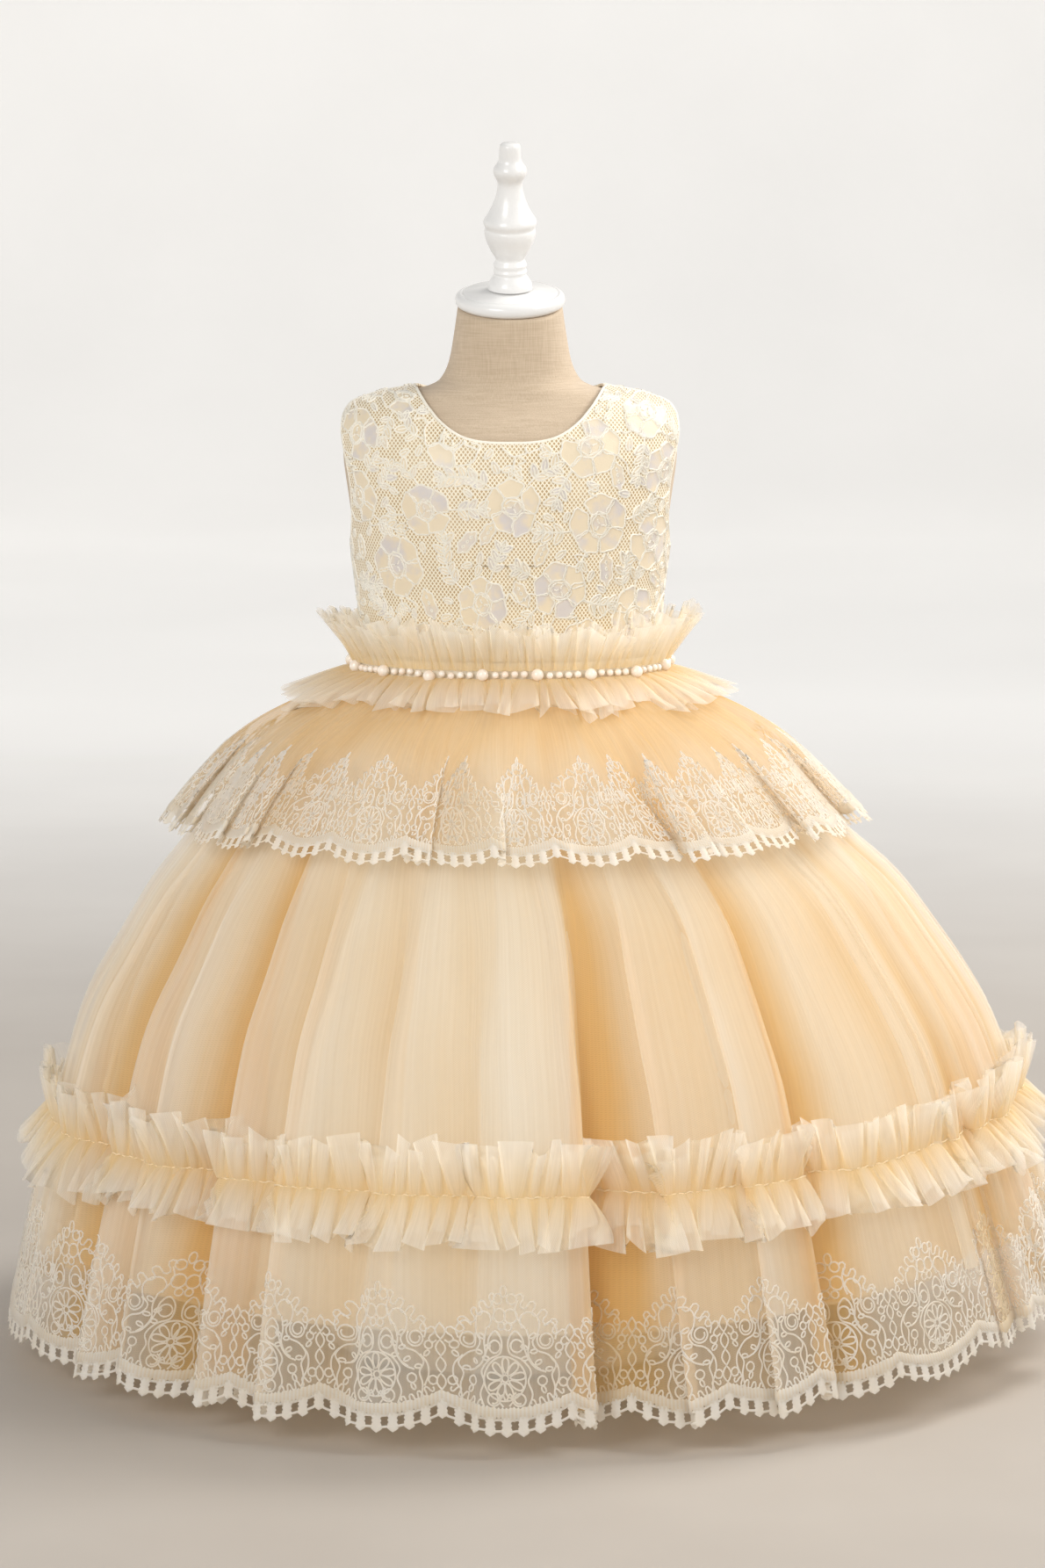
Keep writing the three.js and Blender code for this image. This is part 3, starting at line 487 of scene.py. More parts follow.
def tulle_material(name, light, deep, opacity, through=0.45, streak=120.0):
    """Sheer net: a share of thread over clear gaps, denser along fine streaks; in the folds, painted shade
    makes it denser and darker.
    """
    n = Nodes(name)
    painted_shade = n.add("ShaderNodeAttribute", attribute_name="painted_shade").outputs["Fac"]
    streaks = n.noise(n.flat((streak, 5, 1)), 1.0, 2.0)
    fine = n.noise(n.flat((streak * 4.5, 9, 1)), 1.0, 1.0)
    cloud = n.noise(n.flat((9, 5, 1)), 1.0, 2.0)
    one, two = (n.wave(n.flat((way, 1, 1)), NET, "DIAGONAL") for way in (1, -1))
    net = n.math("MULTIPLY", one, two)
    share = n.range(streaks, 0.3, 0.7, opacity * 0.93, opacity * 1.07)
    share = n.math("MULTIPLY", share, n.range(fine, 0.35, 0.65, 0.97, 1.04))
    share = n.math("MULTIPLY", share, n.range(net, 0.0, 1.0, 1.08, 0.9))
    share = n.math("MULTIPLY", share, n.range(painted_shade, 0.0, 1.0, 1.0, 1.3))
    tone = n.math("ADD", n.range(cloud, 0.35, 0.65, 0.82, 1.0), n.range(fine, 0.35, 0.65, -0.03, 0.03))
    # The colour moves at random between `light` and `deep`, and towards `deep` as painted shade in the folds.
    colour = n.blend(n.math("SUBTRACT", tone, painted_shade), deep, light)
    diffuse = n.add("ShaderNodeBsdfDiffuse", {"Color": colour, "Roughness": 0.6}).outputs[0]
    cloth = n.lit_through(through, diffuse, colour)
    clear = n.add("ShaderNodeBsdfTransparent").outputs[0]
    return n.finish(n.add("ShaderNodeMixShader", {0: share, 1: clear, 2: cloth}).outputs[0])


def cord_material(name, colour, shade, through=0.2):
    n = Nodes(name)
    twist = n.wave(n.place(), CORD_TWIST, "DIAGONAL", 1.5)
    tint = n.noise(n.place(), 60.0)
    painted_shade = n.add("ShaderNodeAttribute", attribute_name="painted_shade").outputs["Fac"]
    # The thread's colour moves at random towards `shade`, and further towards it as painted shade where it
    # lies in a deep fold.
    base = n.blend(n.math("SUBTRACT", n.range(tint, 0.35, 0.65, 0.8, 1.0), painted_shade), shade, colour)
    bump = n.bump(twist, 0.0004, 0.5)
    return n.finish(n.lit_through(through, n.solid(base, 0.62, bump, Sheen_Weight=0.25), base))


def lining_material():
    n = Nodes("lining_satin")
    weave = n.math("ADD", n.wave(n.flat(), SATIN_WEAVE, "X"), n.wave(n.flat(), SATIN_WEAVE, "Y"))
    cloud = n.noise(n.flat((4, 7, 1)), 1.0, 3.0)
    colour = n.blend(n.range(cloud, 0.35, 0.65), rgb(0.975, 0.905, 0.755), rgb(0.985, 0.935, 0.825))
    bump = n.bump(weave, 0.0002, 0.4)
    return n.finish(n.lit_through(0.25, n.solid(colour, 0.5, bump, Sheen_Weight=0.3), colour))


def bodice_material():
    """Cream satin seen through a diamond net of fine thread, painted much darker in the net's holes as their
    shade.
    """
    n = Nodes("bodice_net_on_satin")
    one = n.wave(n.flat((1, 0.8, 1)), DIAMOND_NET, "DIAGONAL")
    two = n.wave(n.flat((-1, 0.8, 1)), DIAMOND_NET, "DIAGONAL")
    thread = n.range(n.math("MAXIMUM", one, two), 0.45, 0.8)
    cloud = n.noise(n.flat((30, 30, 1)), 1.0, 3.0)
    # The satin's colours are darkened well below cream as painted shade in the net's holes; the cloud only
    # varies them at random.
    satin = n.blend(n.range(cloud, 0.4, 0.62), rgb(0.50, 0.34, 0.16), rgb(0.60, 0.44, 0.25))
    colour = n.blend(thread, satin, rgb(0.93, 0.84, 0.66))
    bump = n.bump(thread, 0.0008, 0.8)
    return n.finish(n.solid(colour, 0.45, bump, Sheen_Weight=0.2))


def petal_material():
    """Closely woven petals: cream with the faint lilac sheen of the satin behind."""
    n = Nodes("lace_petal")
    cloud = n.noise(n.place(), 55.0, 3.0)
    grain = n.noise(n.place(), 900.0, 2.0)
    colour = n.blend(n.range(cloud, 0.48, 0.62), rgb(0.74, 0.63, 0.46), rgb(0.62, 0.57, 0.54))
    bump = n.bump(grain, 0.0003, 0.4)
    return n.finish(n.solid(colour, 0.42, bump, Sheen_Weight=0.3))


def linen_material():
    n = Nodes("form_linen")
    slub_x = n.noise(n.place((60, 60, 1400)), 1.0, 2.0)
    slub_z = n.noise(n.place((1400, 1400, 60)), 1.0, 2.0)
    weave = n.math("ADD", slub_x, slub_z)
    cloud = n.noise(n.place(), 14.0, 4.0)
    tone = n.math("ADD", n.range(weave, 0.7, 1.3, 0.0, 0.7), n.range(cloud, 0.3, 0.7, 0.0, 0.3))
    colour = n.blend(tone, rgb(0.46, 0.355, 0.245), rgb(0.62, 0.50, 0.37))
    bump = n.bump(weave, 0.0004, 0.5)
    return n.finish(n.solid(colour, 0.88, bump, Sheen_Weight=0.2))


def paint_material():
    n = Nodes("white_chipped_paint")
    patch = n.noise(n.place(), 70.0, 5.0, 0.7)
    chips = n.range(patch, 0.69, 0.72)
    grime = n.noise(n.place(), 18.0, 3.0)
    white = n.blend(n.range(grime, 0.35, 0.7), rgb(0.74, 0.735, 0.725), rgb(0.81, 0.805, 0.795))
    colour = n.blend(chips, white, rgb(0.66, 0.60, 0.52))
    bump = n.bump(patch, 0.001, 0.35)
    return n.finish(n.solid(colour, 0.28, bump, Coat_Weight=0.35, Coat_Roughness=0.15))


def steel_material():
    n = Nodes("pole_steel")
    brushed = n.noise(n.place((900, 900, 12)), 1.0, 2.0)
    colour = n.blend(n.range(brushed, 0.3, 0.7), rgb(0.50, 0.49, 0.47), rgb(0.66, 0.65, 0.63))
    return n.finish(n.solid(colour, 0.32, n.bump(brushed, 0.0002, 0.3), Metallic=1.0))


def pearl_material():
    n = Nodes("pearl")
    cloud = n.noise(n.place(), 130.0, 2.0)
    colour = n.blend(n.range(cloud, 0.35, 0.65), rgb(0.93, 0.80, 0.68), rgb(0.95, 0.90, 0.82))
    return n.finish(n.solid(colour, 0.22, Coat_Weight=0.8, Coat_Roughness=0.08, Sheen_Weight=0.15))


def zip_material():
    n = Nodes("zip_plastic")
    cloud = n.noise(n.place(), 260.0, 2.0)
    colour = n.blend(n.range(cloud, 0.35, 0.65), rgb(0.82, 0.70, 0.46), rgb(0.88, 0.77, 0.54))
    return n.finish(n.solid(colour, 0.4, n.bump(cloud, 0.0002, 0.3)))


def stage_material():
    """Pale floor that turns slowly into a paler, softly glowing wall all round the object."""
    n = Nodes("studio_floor")
    cloud = n.noise(n.place(), 1.6, 4.0)
    away = n.add("ShaderNodeVectorMath", {0: n.place((1, 1, 0))}, operation="LENGTH").outputs["Value"]
    far = n.add(
        "ShaderNodeMapRange", {"Value": away, "From Min": 0.6, "From Max": 3.6, "To Min": 0.0, "To Max": 1.0},
        interpolation_type="SMOOTHSTEP",
    ).outputs[0]
    floor = n.blend(n.range(cloud, 0.3, 0.7), rgb(0.40, 0.36, 0.32), rgb(0.49, 0.45, 0.405))
    wall = n.blend(n.range(cloud, 0.3, 0.7), rgb(0.61, 0.60, 0.585), rgb(0.67, 0.66, 0.645))
    n.material.cycles.emission_sampling = "NONE"
    glow = n.math("MULTIPLY", far, 0.42)
    colour = n.blend(far, floor, wall)
    return n.finish(n.solid(colour, 0.6, Emission_Color=rgb(1.0, 0.985, 0.96), Emission_Strength=glow))


# The second colour of each net is its painted shade, deep in the folds.
TULLE = tulle_material("skirt_tulle_net", rgb(0.99, 0.97, 0.92), rgb(0.83, 0.56, 0.21), 0.40)
TULLE_IN = tulle_material("inner_tulle_net", rgb(0.98, 0.945, 0.86), rgb(0.89, 0.68, 0.36), 0.42)
FRILL = tulle_material("frill_tulle_net", rgb(1.0, 0.985, 0.95), rgb(0.96, 0.81, 0.53), 0.38, 0.5, 200.0)
LACE_NET = tulle_material("lace_net", rgb(0.99, 0.95, 0.86), rgb(0.87, 0.60, 0.26), 0.34)
# The second colour of each thread is a darker tone for random variation and, on the border, the painted shade
# in deep folds.
BORDER = cord_material("border_thread", rgb(0.99, 0.965, 0.91), rgb(0.86, 0.72, 0.48), 0.45)
CORD = cord_material("bodice_cord", rgb(1.0, 0.955, 0.85), rgb(0.93, 0.83, 0.63), 0.1)
# The shirring thread's darker butter colour also paints the shade line along the frills' seam.
GATHER_THREAD_AND_SHADE = cord_material("shirring_thread_and_shade", rgb(0.93, 0.80, 0.56), rgb(0.86, 0.69, 0.42), 0.2)
LINING, BODICE, PETAL = lining_material(), bodice_material(), petal_material()
LINEN, PAINT, STEEL = linen_material(), paint_material(), steel_material()
PEARL, ZIP = pearl_material(), zip_material()

# ---------------------------------------------------------------- camera, light and backdrop


# The photo's lens in pixels over its height, and the camera's place in metres and tilt.
FOCAL_PIXELS, PHOTO_HEIGHT, SENSOR = 5500, 1785, 36
CAMERA_PLACE, CAMERA_TILT = (0.0076, -2.9743, 0.7409), 82.5


def place_camera():
    camera = bpy.data.cameras.new("camera")
    camera.lens, camera.sensor_width, camera.sensor_fit = FOCAL_PIXELS / PHOTO_HEIGHT * SENSOR, SENSOR, "AUTO"
    camera.clip_start, camera.clip_end = 0.1, 30
    ob = bpy.data.objects.new("camera", camera)
    ob.location = CAMERA_PLACE
    ob.rotation_euler = (math.radians(CAMERA_TILT), 0, 0)
    link(ob)
    bpy.context.scene.camera = ob


def area_light(name, location, size, power, colour):
    data = bpy.data.lights.new(name, "AREA")
    data.shape, data.size, data.energy, data.color = "SQUARE", size, power, colour
    ob = bpy.data.objects.new(name, data)
    ob.location = location
    away = np.array(location, float) - np.array(LIT_POINT, float)
    yaw = math.atan2(away[0], -away[1])
    pitch = math.atan2(math.hypot(away[0], away[1]), away[2])
    ob.rotation_euler = (pitch, 0, yaw)
    link(ob)


LIT_POINT = (0, 0, 0.35)
# name: place in metres, side in metres, watts, colour
LIGHTS = {
    "window": ((1.5, 0.7, 2.2), 1.1, 46, (1.0, 0.975, 0.94)),
    "front": ((-1.5, -2.8, 1.8), 1.4, 49, (0.985, 0.99, 0.985)),
    "side": ((2.2, -0.9, 2.0), 0.9, 29, (1.0, 0.98, 0.95)),
}
WORLD_COLOUR, WORLD_STRENGTH = rgb(1.0, 0.985, 0.965), 0.42
FLOOR_RADII, WALL_BEND, WALL_TOP, STAGE_TURNS = (300, 1500, 3500, 6300), 1000, 3200, 64


def stage_outline():
    """The backdrop in section, as radius and height: the floor, a quarter round, then the wall."""
    turns = np.linspace(0, np.pi / 2, 13)
    last = FLOOR_RADII[-1]
    bend = [(last + WALL_BEND * math.sin(t), WALL_BEND * (1 - math.cos(t))) for t in turns]
    return [*((r, 0) for r in FLOOR_RADII[:-1]), *bend, (last + WALL_BEND, WALL_TOP)]


def light_stage():
    world = bpy.data.worlds.new("studio")
    world.use_nodes = True
    background = world.node_tree.nodes["Background"]
    background.inputs["Color"].default_value = WORLD_COLOUR
    background.inputs["Strength"].default_value = WORLD_STRENGTH
    bpy.context.scene.world = world
    bpy.context.scene.view_settings.view_transform = "Standard"
    # A line of sight passes through more layers of net than the eight that Cycles would follow.
    bpy.context.scene.cycles.transparent_max_bounces = 40
    # Light that has passed through the net goes on from cloth to cloth and comes out warmer.
    bpy.context.scene.cycles.diffuse_bounces = 6
    bpy.context.scene.cycles.max_bounces = 14
    for name, settings in LIGHTS.items():
        area_light(name, *settings)

    section = stage_outline()
    points = lathe(section, STAGE_TURNS).reshape(-1, 3) * MM
    faces = [list(range(STAGE_TURNS)), *grid_quads(len(section), STAGE_TURNS, True).tolist()]
    me = bpy.data.meshes.new("studio_floor")
    me.from_pydata(points.tolist(), [], faces)
    me.polygons.foreach_set("use_smooth", [True] * len(faces))
    me.materials.append(stage_material())
    ob = bpy.data.objects.new("studio_floor", me)
    link(ob)


place_camera()
light_stage()

# ---------------------------------------------------------------- dress form

CAP_PROFILE = [
    (0, 0.3), (30.6, 0.3), (33.1, 1.8), (33.8, 4.4), (33.1, 7.2), (30.4, 8.9), (29.4, 8.3), (28.2, 9.2),
    (0, 11.4),
]
FINIAL_PROFILE = [
    (0, 11.7), (13.6, 11.4), (13.4, 14.6), (11.2, 18.2), (9.4, 20.4), (10.6, 22.2), (9.3, 24.1), (10.6, 26.2),
    (9.4, 28.2), (8.4, 30.2), (11.6, 34.4), (15.2, 42.6), (15.8, 47.4), (14.9, 49.2), (16.9, 53.2),
    (13.2, 58.4),
    (9.4, 66.2), (7.4, 74.4), (7.6, 78.2), (10.2, 82.6), (10.2, 86.2), (7.2, 90.2), (6.6, 92.4), (6.4, 100.2),
    (5.2, 101.4), (0, 101.6),
]


# how often the profile's corners are cut, and the pieces round it
CORNER_CUTS, TURNED_SEGMENTS = 2, 56


def turned_piece(name, profile, replaces):
    """A turned piece on the tilted neck: the CAD's profile, rounded between its points."""
    profile = np.array(profile, float)
    inner = profile[1:-1]
    for _ in range(CORNER_CUTS):
        first, last = inner[:1], inner[-1:]
        a, b = inner[:-1], inner[1:]
        cut = np.stack([0.75 * a + 0.25 * b, 0.25 * a + 0.75 * b], 1).reshape(-1, 2)
        inner = np.concatenate([first, cut, last])
    segments = TURNED_SEGMENTS
    ring = lathe(inner, segments)
    verts = np.concatenate([ring.reshape(-1, 3), [(0, 0, profile[0, 1])], [(0, 0, profile[-1, 1])]])
    rows = len(inner)
    quads = grid_quads(rows, segments, True)[:, ::-1]
    count = rows * segments
    ends = np.arange(segments), np.arange(count - segments, count)
    tris = np.concatenate([fan(count, ends[0], flip=True), fan(count + 1, ends[1])])
    tilt = math.radians(NECK_TILT)
    x, y, z = verts.T
    placed = np.stack([
        x, y * math.cos(tilt) - z * math.sin(tilt) + NECK_TOP_SHIFT,
        y * math.sin(tilt) + z * math.cos(tilt) + NECK_TOP,
    ], -1)
    return new_piece(name, placed, quads, tris, material=PAINT, slot="white_paint", replaces=replaces)


def torso_piece():
    # low and high end of each stretch, and its rows: closer together over the shoulders and the neck
    stretches = (256, 540, 30), (545, 600, 34), (602, NECK_TOP, 22)
    heights = np.concatenate([np.linspace(*stretch) for stretch in stretches])
    columns = 120
    angles = ring_columns(columns)
    angle, z = np.meshgrid(angles, heights)
    points = body(angle, z)
    # The centre-front, centre-back and side seams, and the seam at the neck's base, sit in shallow grooves.
    reach = np.linalg.norm(points[..., :2], axis=-1)
    across = np.minimum.reduce([
        np.abs((angle - at + 180) % 360 - 180) for at in (0, 90, -90, 180)
    ]) * np.pi / 180 * reach
    groove = 0.45 * np.exp(-((across / 1.3) ** 2))
    groove += 0.4 * np.exp(-(((z - 597.5 + 0.2 * points[..., 1]) / 1.6) ** 2))
    points = points - normal(body, angle, z) * groove[..., None]
    shift = body_at(z)[..., 3]
    tilt = np.tan(np.radians(NECK_TILT * smooth(z, NECK_START, NECK_TOP)))
    points[..., 2] += (points[..., 1] - shift) * tilt
    points = points[::-1]
    rows = len(heights)
    verts = points.reshape(-1, 3)
    quads = grid_quads(rows, columns, True)
    top, bottom = points[0].mean(0), points[-1].mean(0)
    verts = np.concatenate([verts, [top, bottom]])
    count = rows * columns
    ends = np.arange(columns), np.arange(count - columns, count)
    tris = np.concatenate([fan(count, ends[0]), fan(count + 1, ends[1], flip=True)])
    return new_piece(
        "dress_form_body", verts, quads, tris, material=LINEN, slot="linen", replaces=("form_torso",),
    )


torso_piece()
turned_piece("neck_cap", CAP_PROFILE, ("form_neck_cap",))
turned_piece("neck_finial", FINIAL_PROFILE, ("form_finial",))


def dress_node(name, material):
    """Give a CAD node that keeps its shape its material."""
    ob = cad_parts[name]
    ob.data.materials.clear()
    ob.data.materials.append(material)


dress_node("form_pole", STEEL)
dress_node("form_foot", PAINT)
for node_name in ("zip_slider", "zip_pull", "back_zip"):
    dress_node(node_name, ZIP)

# ---------------------------------------------------------------- bodice


def angle_at_x(x, z):
    ratio = np.clip(np.abs(x) / body_at(z)[..., 0], 0, 1)
    return np.degrees(np.arcsin(ratio ** (1 / BODY_POWER))) * np.sign(x)


def top_edge(centre):
    """Shoulder tip to the centre of a panel's top edge, as functions of the share of its length."""
    shoulder = [(90.0, z) for z in np.linspace(SHOULDER_TIP, NECK_POINT, 61)]
    share = np.linspace(1, 0, 121)[1:]
    z = centre + (NECK_POINT - centre) * share**NECK_POWER
    path = np.array(shoulder + list(zip(angle_at_x(NECK_HALF_WIDTH * share, z), z)))
    points = body(path[:, 0], path[:, 1])
    lengths = run_length(points)
    lengths /= lengths[-1]
    return lambda s: (np.interp(s, lengths, path[:, 0]), np.interp(s, lengths, path[:, 1]))


def side_edge(share, bottom):
    seam = 0.4
    turn = np.pi * np.clip((share - seam) / (1 - seam), 0, 1)
    scoop = np.where(share <= seam, 0, ARMHOLE_SCOOP * np.sin(turn))
    low = mix(bottom, ARMPIT, np.clip(share / seam, 0, 1))
    high = mix(ARMPIT, SHOULDER_TIP, (1 - np.cos(turn)) / 2)
    return scoop, np.where(share <= seam, low, high)


BODICE_BOTTOM = WAIST + BAND_HEIGHT / 2 + SEAM


def panel(start, centre, place):
    """Angle and height of a bodice panel's point (s, v): s 0 at the centre and 1 at the side, v upward."""
    top = top_edge(centre)

    def top_at(s):
        angle, z = top(1 - np.abs(s))
        return np.stack([angle * np.sign(s), z], -1)

    def side_at(share, sign):
        scoop, z = side_edge(share, BODICE_BOTTOM)
        return np.stack([sign * (90 - scoop), z], -1)

    def left_at(share):
        if start < 0:
            return side_at(share, -1)
        return np.stack([np.zeros_like(share), mix(BODICE_BOTTOM, centre, share)], -1)

    one = np.ones(1)
    corner_left, corner_right = left_at(one)[0], side_at(one, 1)[0]

    def at(s, v):
        s, v = arrays(s, v)
        t = ((s - start) / (1 - start))[..., None]
        w = v[..., None]
        low = np.stack([90 * s, np.full_like(s, BODICE_BOTTOM)], -1)
        low_left = np.array([90 * start, BODICE_BOTTOM])
        low_right = np.array([90, BODICE_BOTTOM])
        corner_one = (1 - w) * low_left + w * corner_left
        corner_two = (1 - w) * low_right + w * corner_right
        corner = (1 - t) * corner_one + t * corner_two
        spot = (1 - w) * low + w * top_at(s) + (1 - t) * left_at(v) + t * side_at(v, 1) - corner
        return place(spot[..., 0], spot[..., 1])

    return at


SIDE_GAP = 0.14  # degrees kept from each side seam
ZIP_HALF = 1.9  # from the centre back to a back panel's edge


def front_place(angle, z):
    return angle * (1 - SIDE_GAP / 90), z


def back_place(sign):
    def place(angle, z):
        edge = np.degrees(np.arcsin((ZIP_HALF / body_at(z)[..., 0]) ** (1 / BODY_POWER)))
        return sign * (180 - mix(edge, 90 - SIDE_GAP, angle / 90)), z

    return place


PANELS = {
    "bodice_front": (panel(-1, NECK_FRONT, front_place), -1),
    "bodice_back_left": (panel(0, NECK_BACK, back_place(1)), 0),
    "bodice_back_right": (panel(0, NECK_BACK, back_place(-1)), 0),
}


def panel_point(name, s, v, distance):
    angle, z = PANELS[name][0](s, v)
    return moved_out(eased_body, angle, z, distance)


class BodiceCloth:
    """The lace cloth of one side of the bodice, laid out flat, and where its points lie on the body.

    u runs round the body from the centre line, measured at the chest; v runs up from the waist. Above the
    armpits u follows the width instead of the turn, as a flat front or back does."""

    def __init__(self, name):
        self.name = name
        self.back = name != "bodice_front"
        self.sign = -1 if name == "bodice_back_right" else 1
        self.centre = NECK_BACK if self.back else NECK_FRONT
        self.turns = np.linspace(0, 90, 361)
        ring = body(self.full_angle(self.turns), CHEST)
        self.round = run_length(ring)
        self.heights = np.linspace(BODICE_BOTTOM, NECK_POINT + 1, 400)
        column = body(self.full_angle(SAMPLE_TURN), self.heights)
        self.up = run_length(column)

    def full_angle(self, turn):
        return self.sign * (180 - np.asarray(turn, float)) if self.back else np.asarray(turn, float)

    def turn_at(self, even, z):
        """The turn from the centre at height z for the chest's turn `even`."""
        x = body_at(CHEST)[..., 0] * np.sin(np.radians(np.abs(even))) ** BODY_POWER
        return mix(np.abs(even), angle_at_x(x, z), smooth(z, *FLAT_FROM)) * np.sign(even)

    def flatten(self, turn, z):
        """u and v of a point, found by halving."""
        low, high = np.zeros_like(turn), np.full_like(turn, 90.0)
        for _ in range(22):
            middle = (low + high) / 2
            below = self.turn_at(middle, z) < np.abs(turn)
            low, high = np.where(below, middle, low), np.where(below, high, middle)
        return np.interp(low, self.turns, self.round) * np.sign(turn), np.interp(z, self.heights, self.up)

    def place(self, u, v, distance):
        even = np.interp(np.abs(u), self.round, self.turns) * np.sign(u)
        z = np.interp(v, self.up, self.heights)
        return moved_out(eased_body, self.full_angle(self.turn_at(even, z)), z, distance)

    def inside(self, u, v):
        """Whether a point is on the panel, a seam's width from its edges."""
        even = np.interp(np.abs(u), self.round, self.turns)
        z = np.interp(v, self.up, self.heights)
        turn = self.turn_at(even, z)
        share = np.clip((z - ARMPIT) / (SHOULDER_TIP - ARMPIT), 0, 1)
        side = 90 - ARMHOLE_SCOOP * 2 * np.sqrt(share * (1 - share)) - 1.0
        x = body_at(z)[..., 0] * np.sin(np.radians(np.clip(turn, 0, 90))) ** BODY_POWER
        neck = self.centre + (NECK_POINT - self.centre) * (x / NECK_HALF_WIDTH) ** NECK_POWER
        fits = body_at(CHEST)[..., 0] * np.sin(np.radians(even)) ** BODY_POWER < body_at(z)[..., 0] * 0.995
        centre_gap = 3.4 if self.back else -1
        ok = (turn < side) & (np.abs(u) < self.round[-1]) & (np.abs(u) > centre_gap) & (v > 0.5)
        return ok & (z < np.where(x < NECK_HALF_WIDTH, neck, NECK_POINT) - 1.3) & (fits | (z < FLAT_FROM[0]))


CHEST, SAMPLE_TURN, FLAT_FROM = 553.0, 35.0, (545.0, 585.0)
CLOTHS = {name: BodiceCloth(name) for name in PANELS}


def bodice_piece(name):
    """The panel's wall: an outer and an inner face joined by rounded, turned-in edges."""
    start = PANELS[name][1]
    columns, rows = (97, 64) if start < 0 else (53, 64)
    s = np.linspace(start, 1, columns)
    v = 1 - np.linspace(0, 1, rows) ** 1.15
    S, V = np.meshgrid(s, v)
    outer = panel_point(name, S, V, SATIN)
    inner = panel_point(name, S, V, 0.1)
    middle = panel_point(name, S, V, SATIN / 2)
    count = rows * columns
    quads = grid_quads(rows, columns)
    inner_quads = grid_quads(rows, columns, offset=count)[:, ::-1]
    # The rim runs through the middle points of the border, so that the edge is round.
    border = np.concatenate([
        np.arange(columns), np.arange(1, rows) * columns + columns - 1,
        (rows - 1) * columns + np.arange(columns - 2, -1, -1), np.arange(rows - 2, 0, -1) * columns,
    ])
    m = 2 * count + np.arange(len(border))
    nxt = np.roll(border, -1)
    m_next = np.roll(m, -1)
    rim = np.concatenate([
        np.stack([border, nxt, m_next, m], -1),
        np.stack([m, m_next, nxt + count, border + count], -1),
    ])
    verts = np.concatenate([outer.reshape(-1, 3), inner.reshape(-1, 3), middle.reshape(-1, 3)[border]])
    faces = np.concatenate([quads, inner_quads, rim])
    if name == "bodice_back_left":
        faces = faces[:, ::-1]
    angle, z = PANELS[name][0](S, V)
    cloth = CLOTHS[name]
    turn = 180 - np.abs(angle) if cloth.back else angle
    flat = np.stack(cloth.flatten(turn.ravel(), z.ravel()), -1) * MM
    flat = np.concatenate([flat, flat, flat[border]])
    return new_piece(
        name + "_lace", verts, faces, uv=flat[faces.ravel()], material=BODICE, slot="corded_lace",
        replaces=(name,),
    )


BODICE_PIECES = {name: bodice_piece(name) for name in PANELS}


def smooth_line(points, step=1.3, closed=False):
    """A curve through control points (Catmull-Rom), with points about `step` apart."""
    p = np.array(points, float)
    if closed:
        ext = np.concatenate([p[-1:], p, p[:2]])
        spans = len(p)
    else:
        ext = np.concatenate([2 * p[:1] - p[1:2], p, 2 * p[-1:] - p[-2:-1]])
        spans = len(p) - 1
    out = []
    for i in range(spans):
        a, b, c, d = ext[i:i + 4]
        n = max(1, int(round(np.linalg.norm(c - b) / step)))
        t = (np.arange(n) / n)[:, None]
        square, cube = 2 * a - 5 * b + 4 * c - d, 3 * b - a - 3 * c + d
        out.append(0.5 * (2 * b + (c - a) * t + square * t**2 + cube * t**3))
    line = np.concatenate([*out, ext[spans:spans + 1]])
    line[-1] = p[0] if closed else p[-1]
    return line


def oval(centre, along, across, turn, count=14, scallops=0, depth=0.0, pointed=0.0):
    """A closed outline: an oval, with a pointed tip for leaves or a scalloped edge for petals."""
    t = 2 * np.pi * np.arange(count) / count
    r = 1 + depth * np.cos(scallops * t) if scallops else np.ones(count)
    x = along * np.cos(t) * r
    y = across * np.sin(t) * r * (1 - pointed * np.cos(t))
    c, s = math.cos(turn), math.sin(turn)
    return np.stack([centre[0] + c * x - s * y, centre[1] + s * x + c * y], -1)


def from_spot(x, y, reach, heading):
    """The point at a distance and heading from (x, y)."""
    return x + reach * math.cos(heading), y + reach * math.sin(heading)


# The lace's motifs: tries, smallest and largest size, gap to the next, and share of its size kept clear.
ROSES, PODS, LEAVES = (1500, 15.0, 19.0, 5.5, 1.0), (700, 6.2, 8.0, 0.4, 0.9), (2500, 3.0, 4.4, 0.8, 0.9)
SPRAYS_EACH, SPRAY_STEP = 4, 6.2
JOIN_REACH, JOIN_POINTS = 62, 7


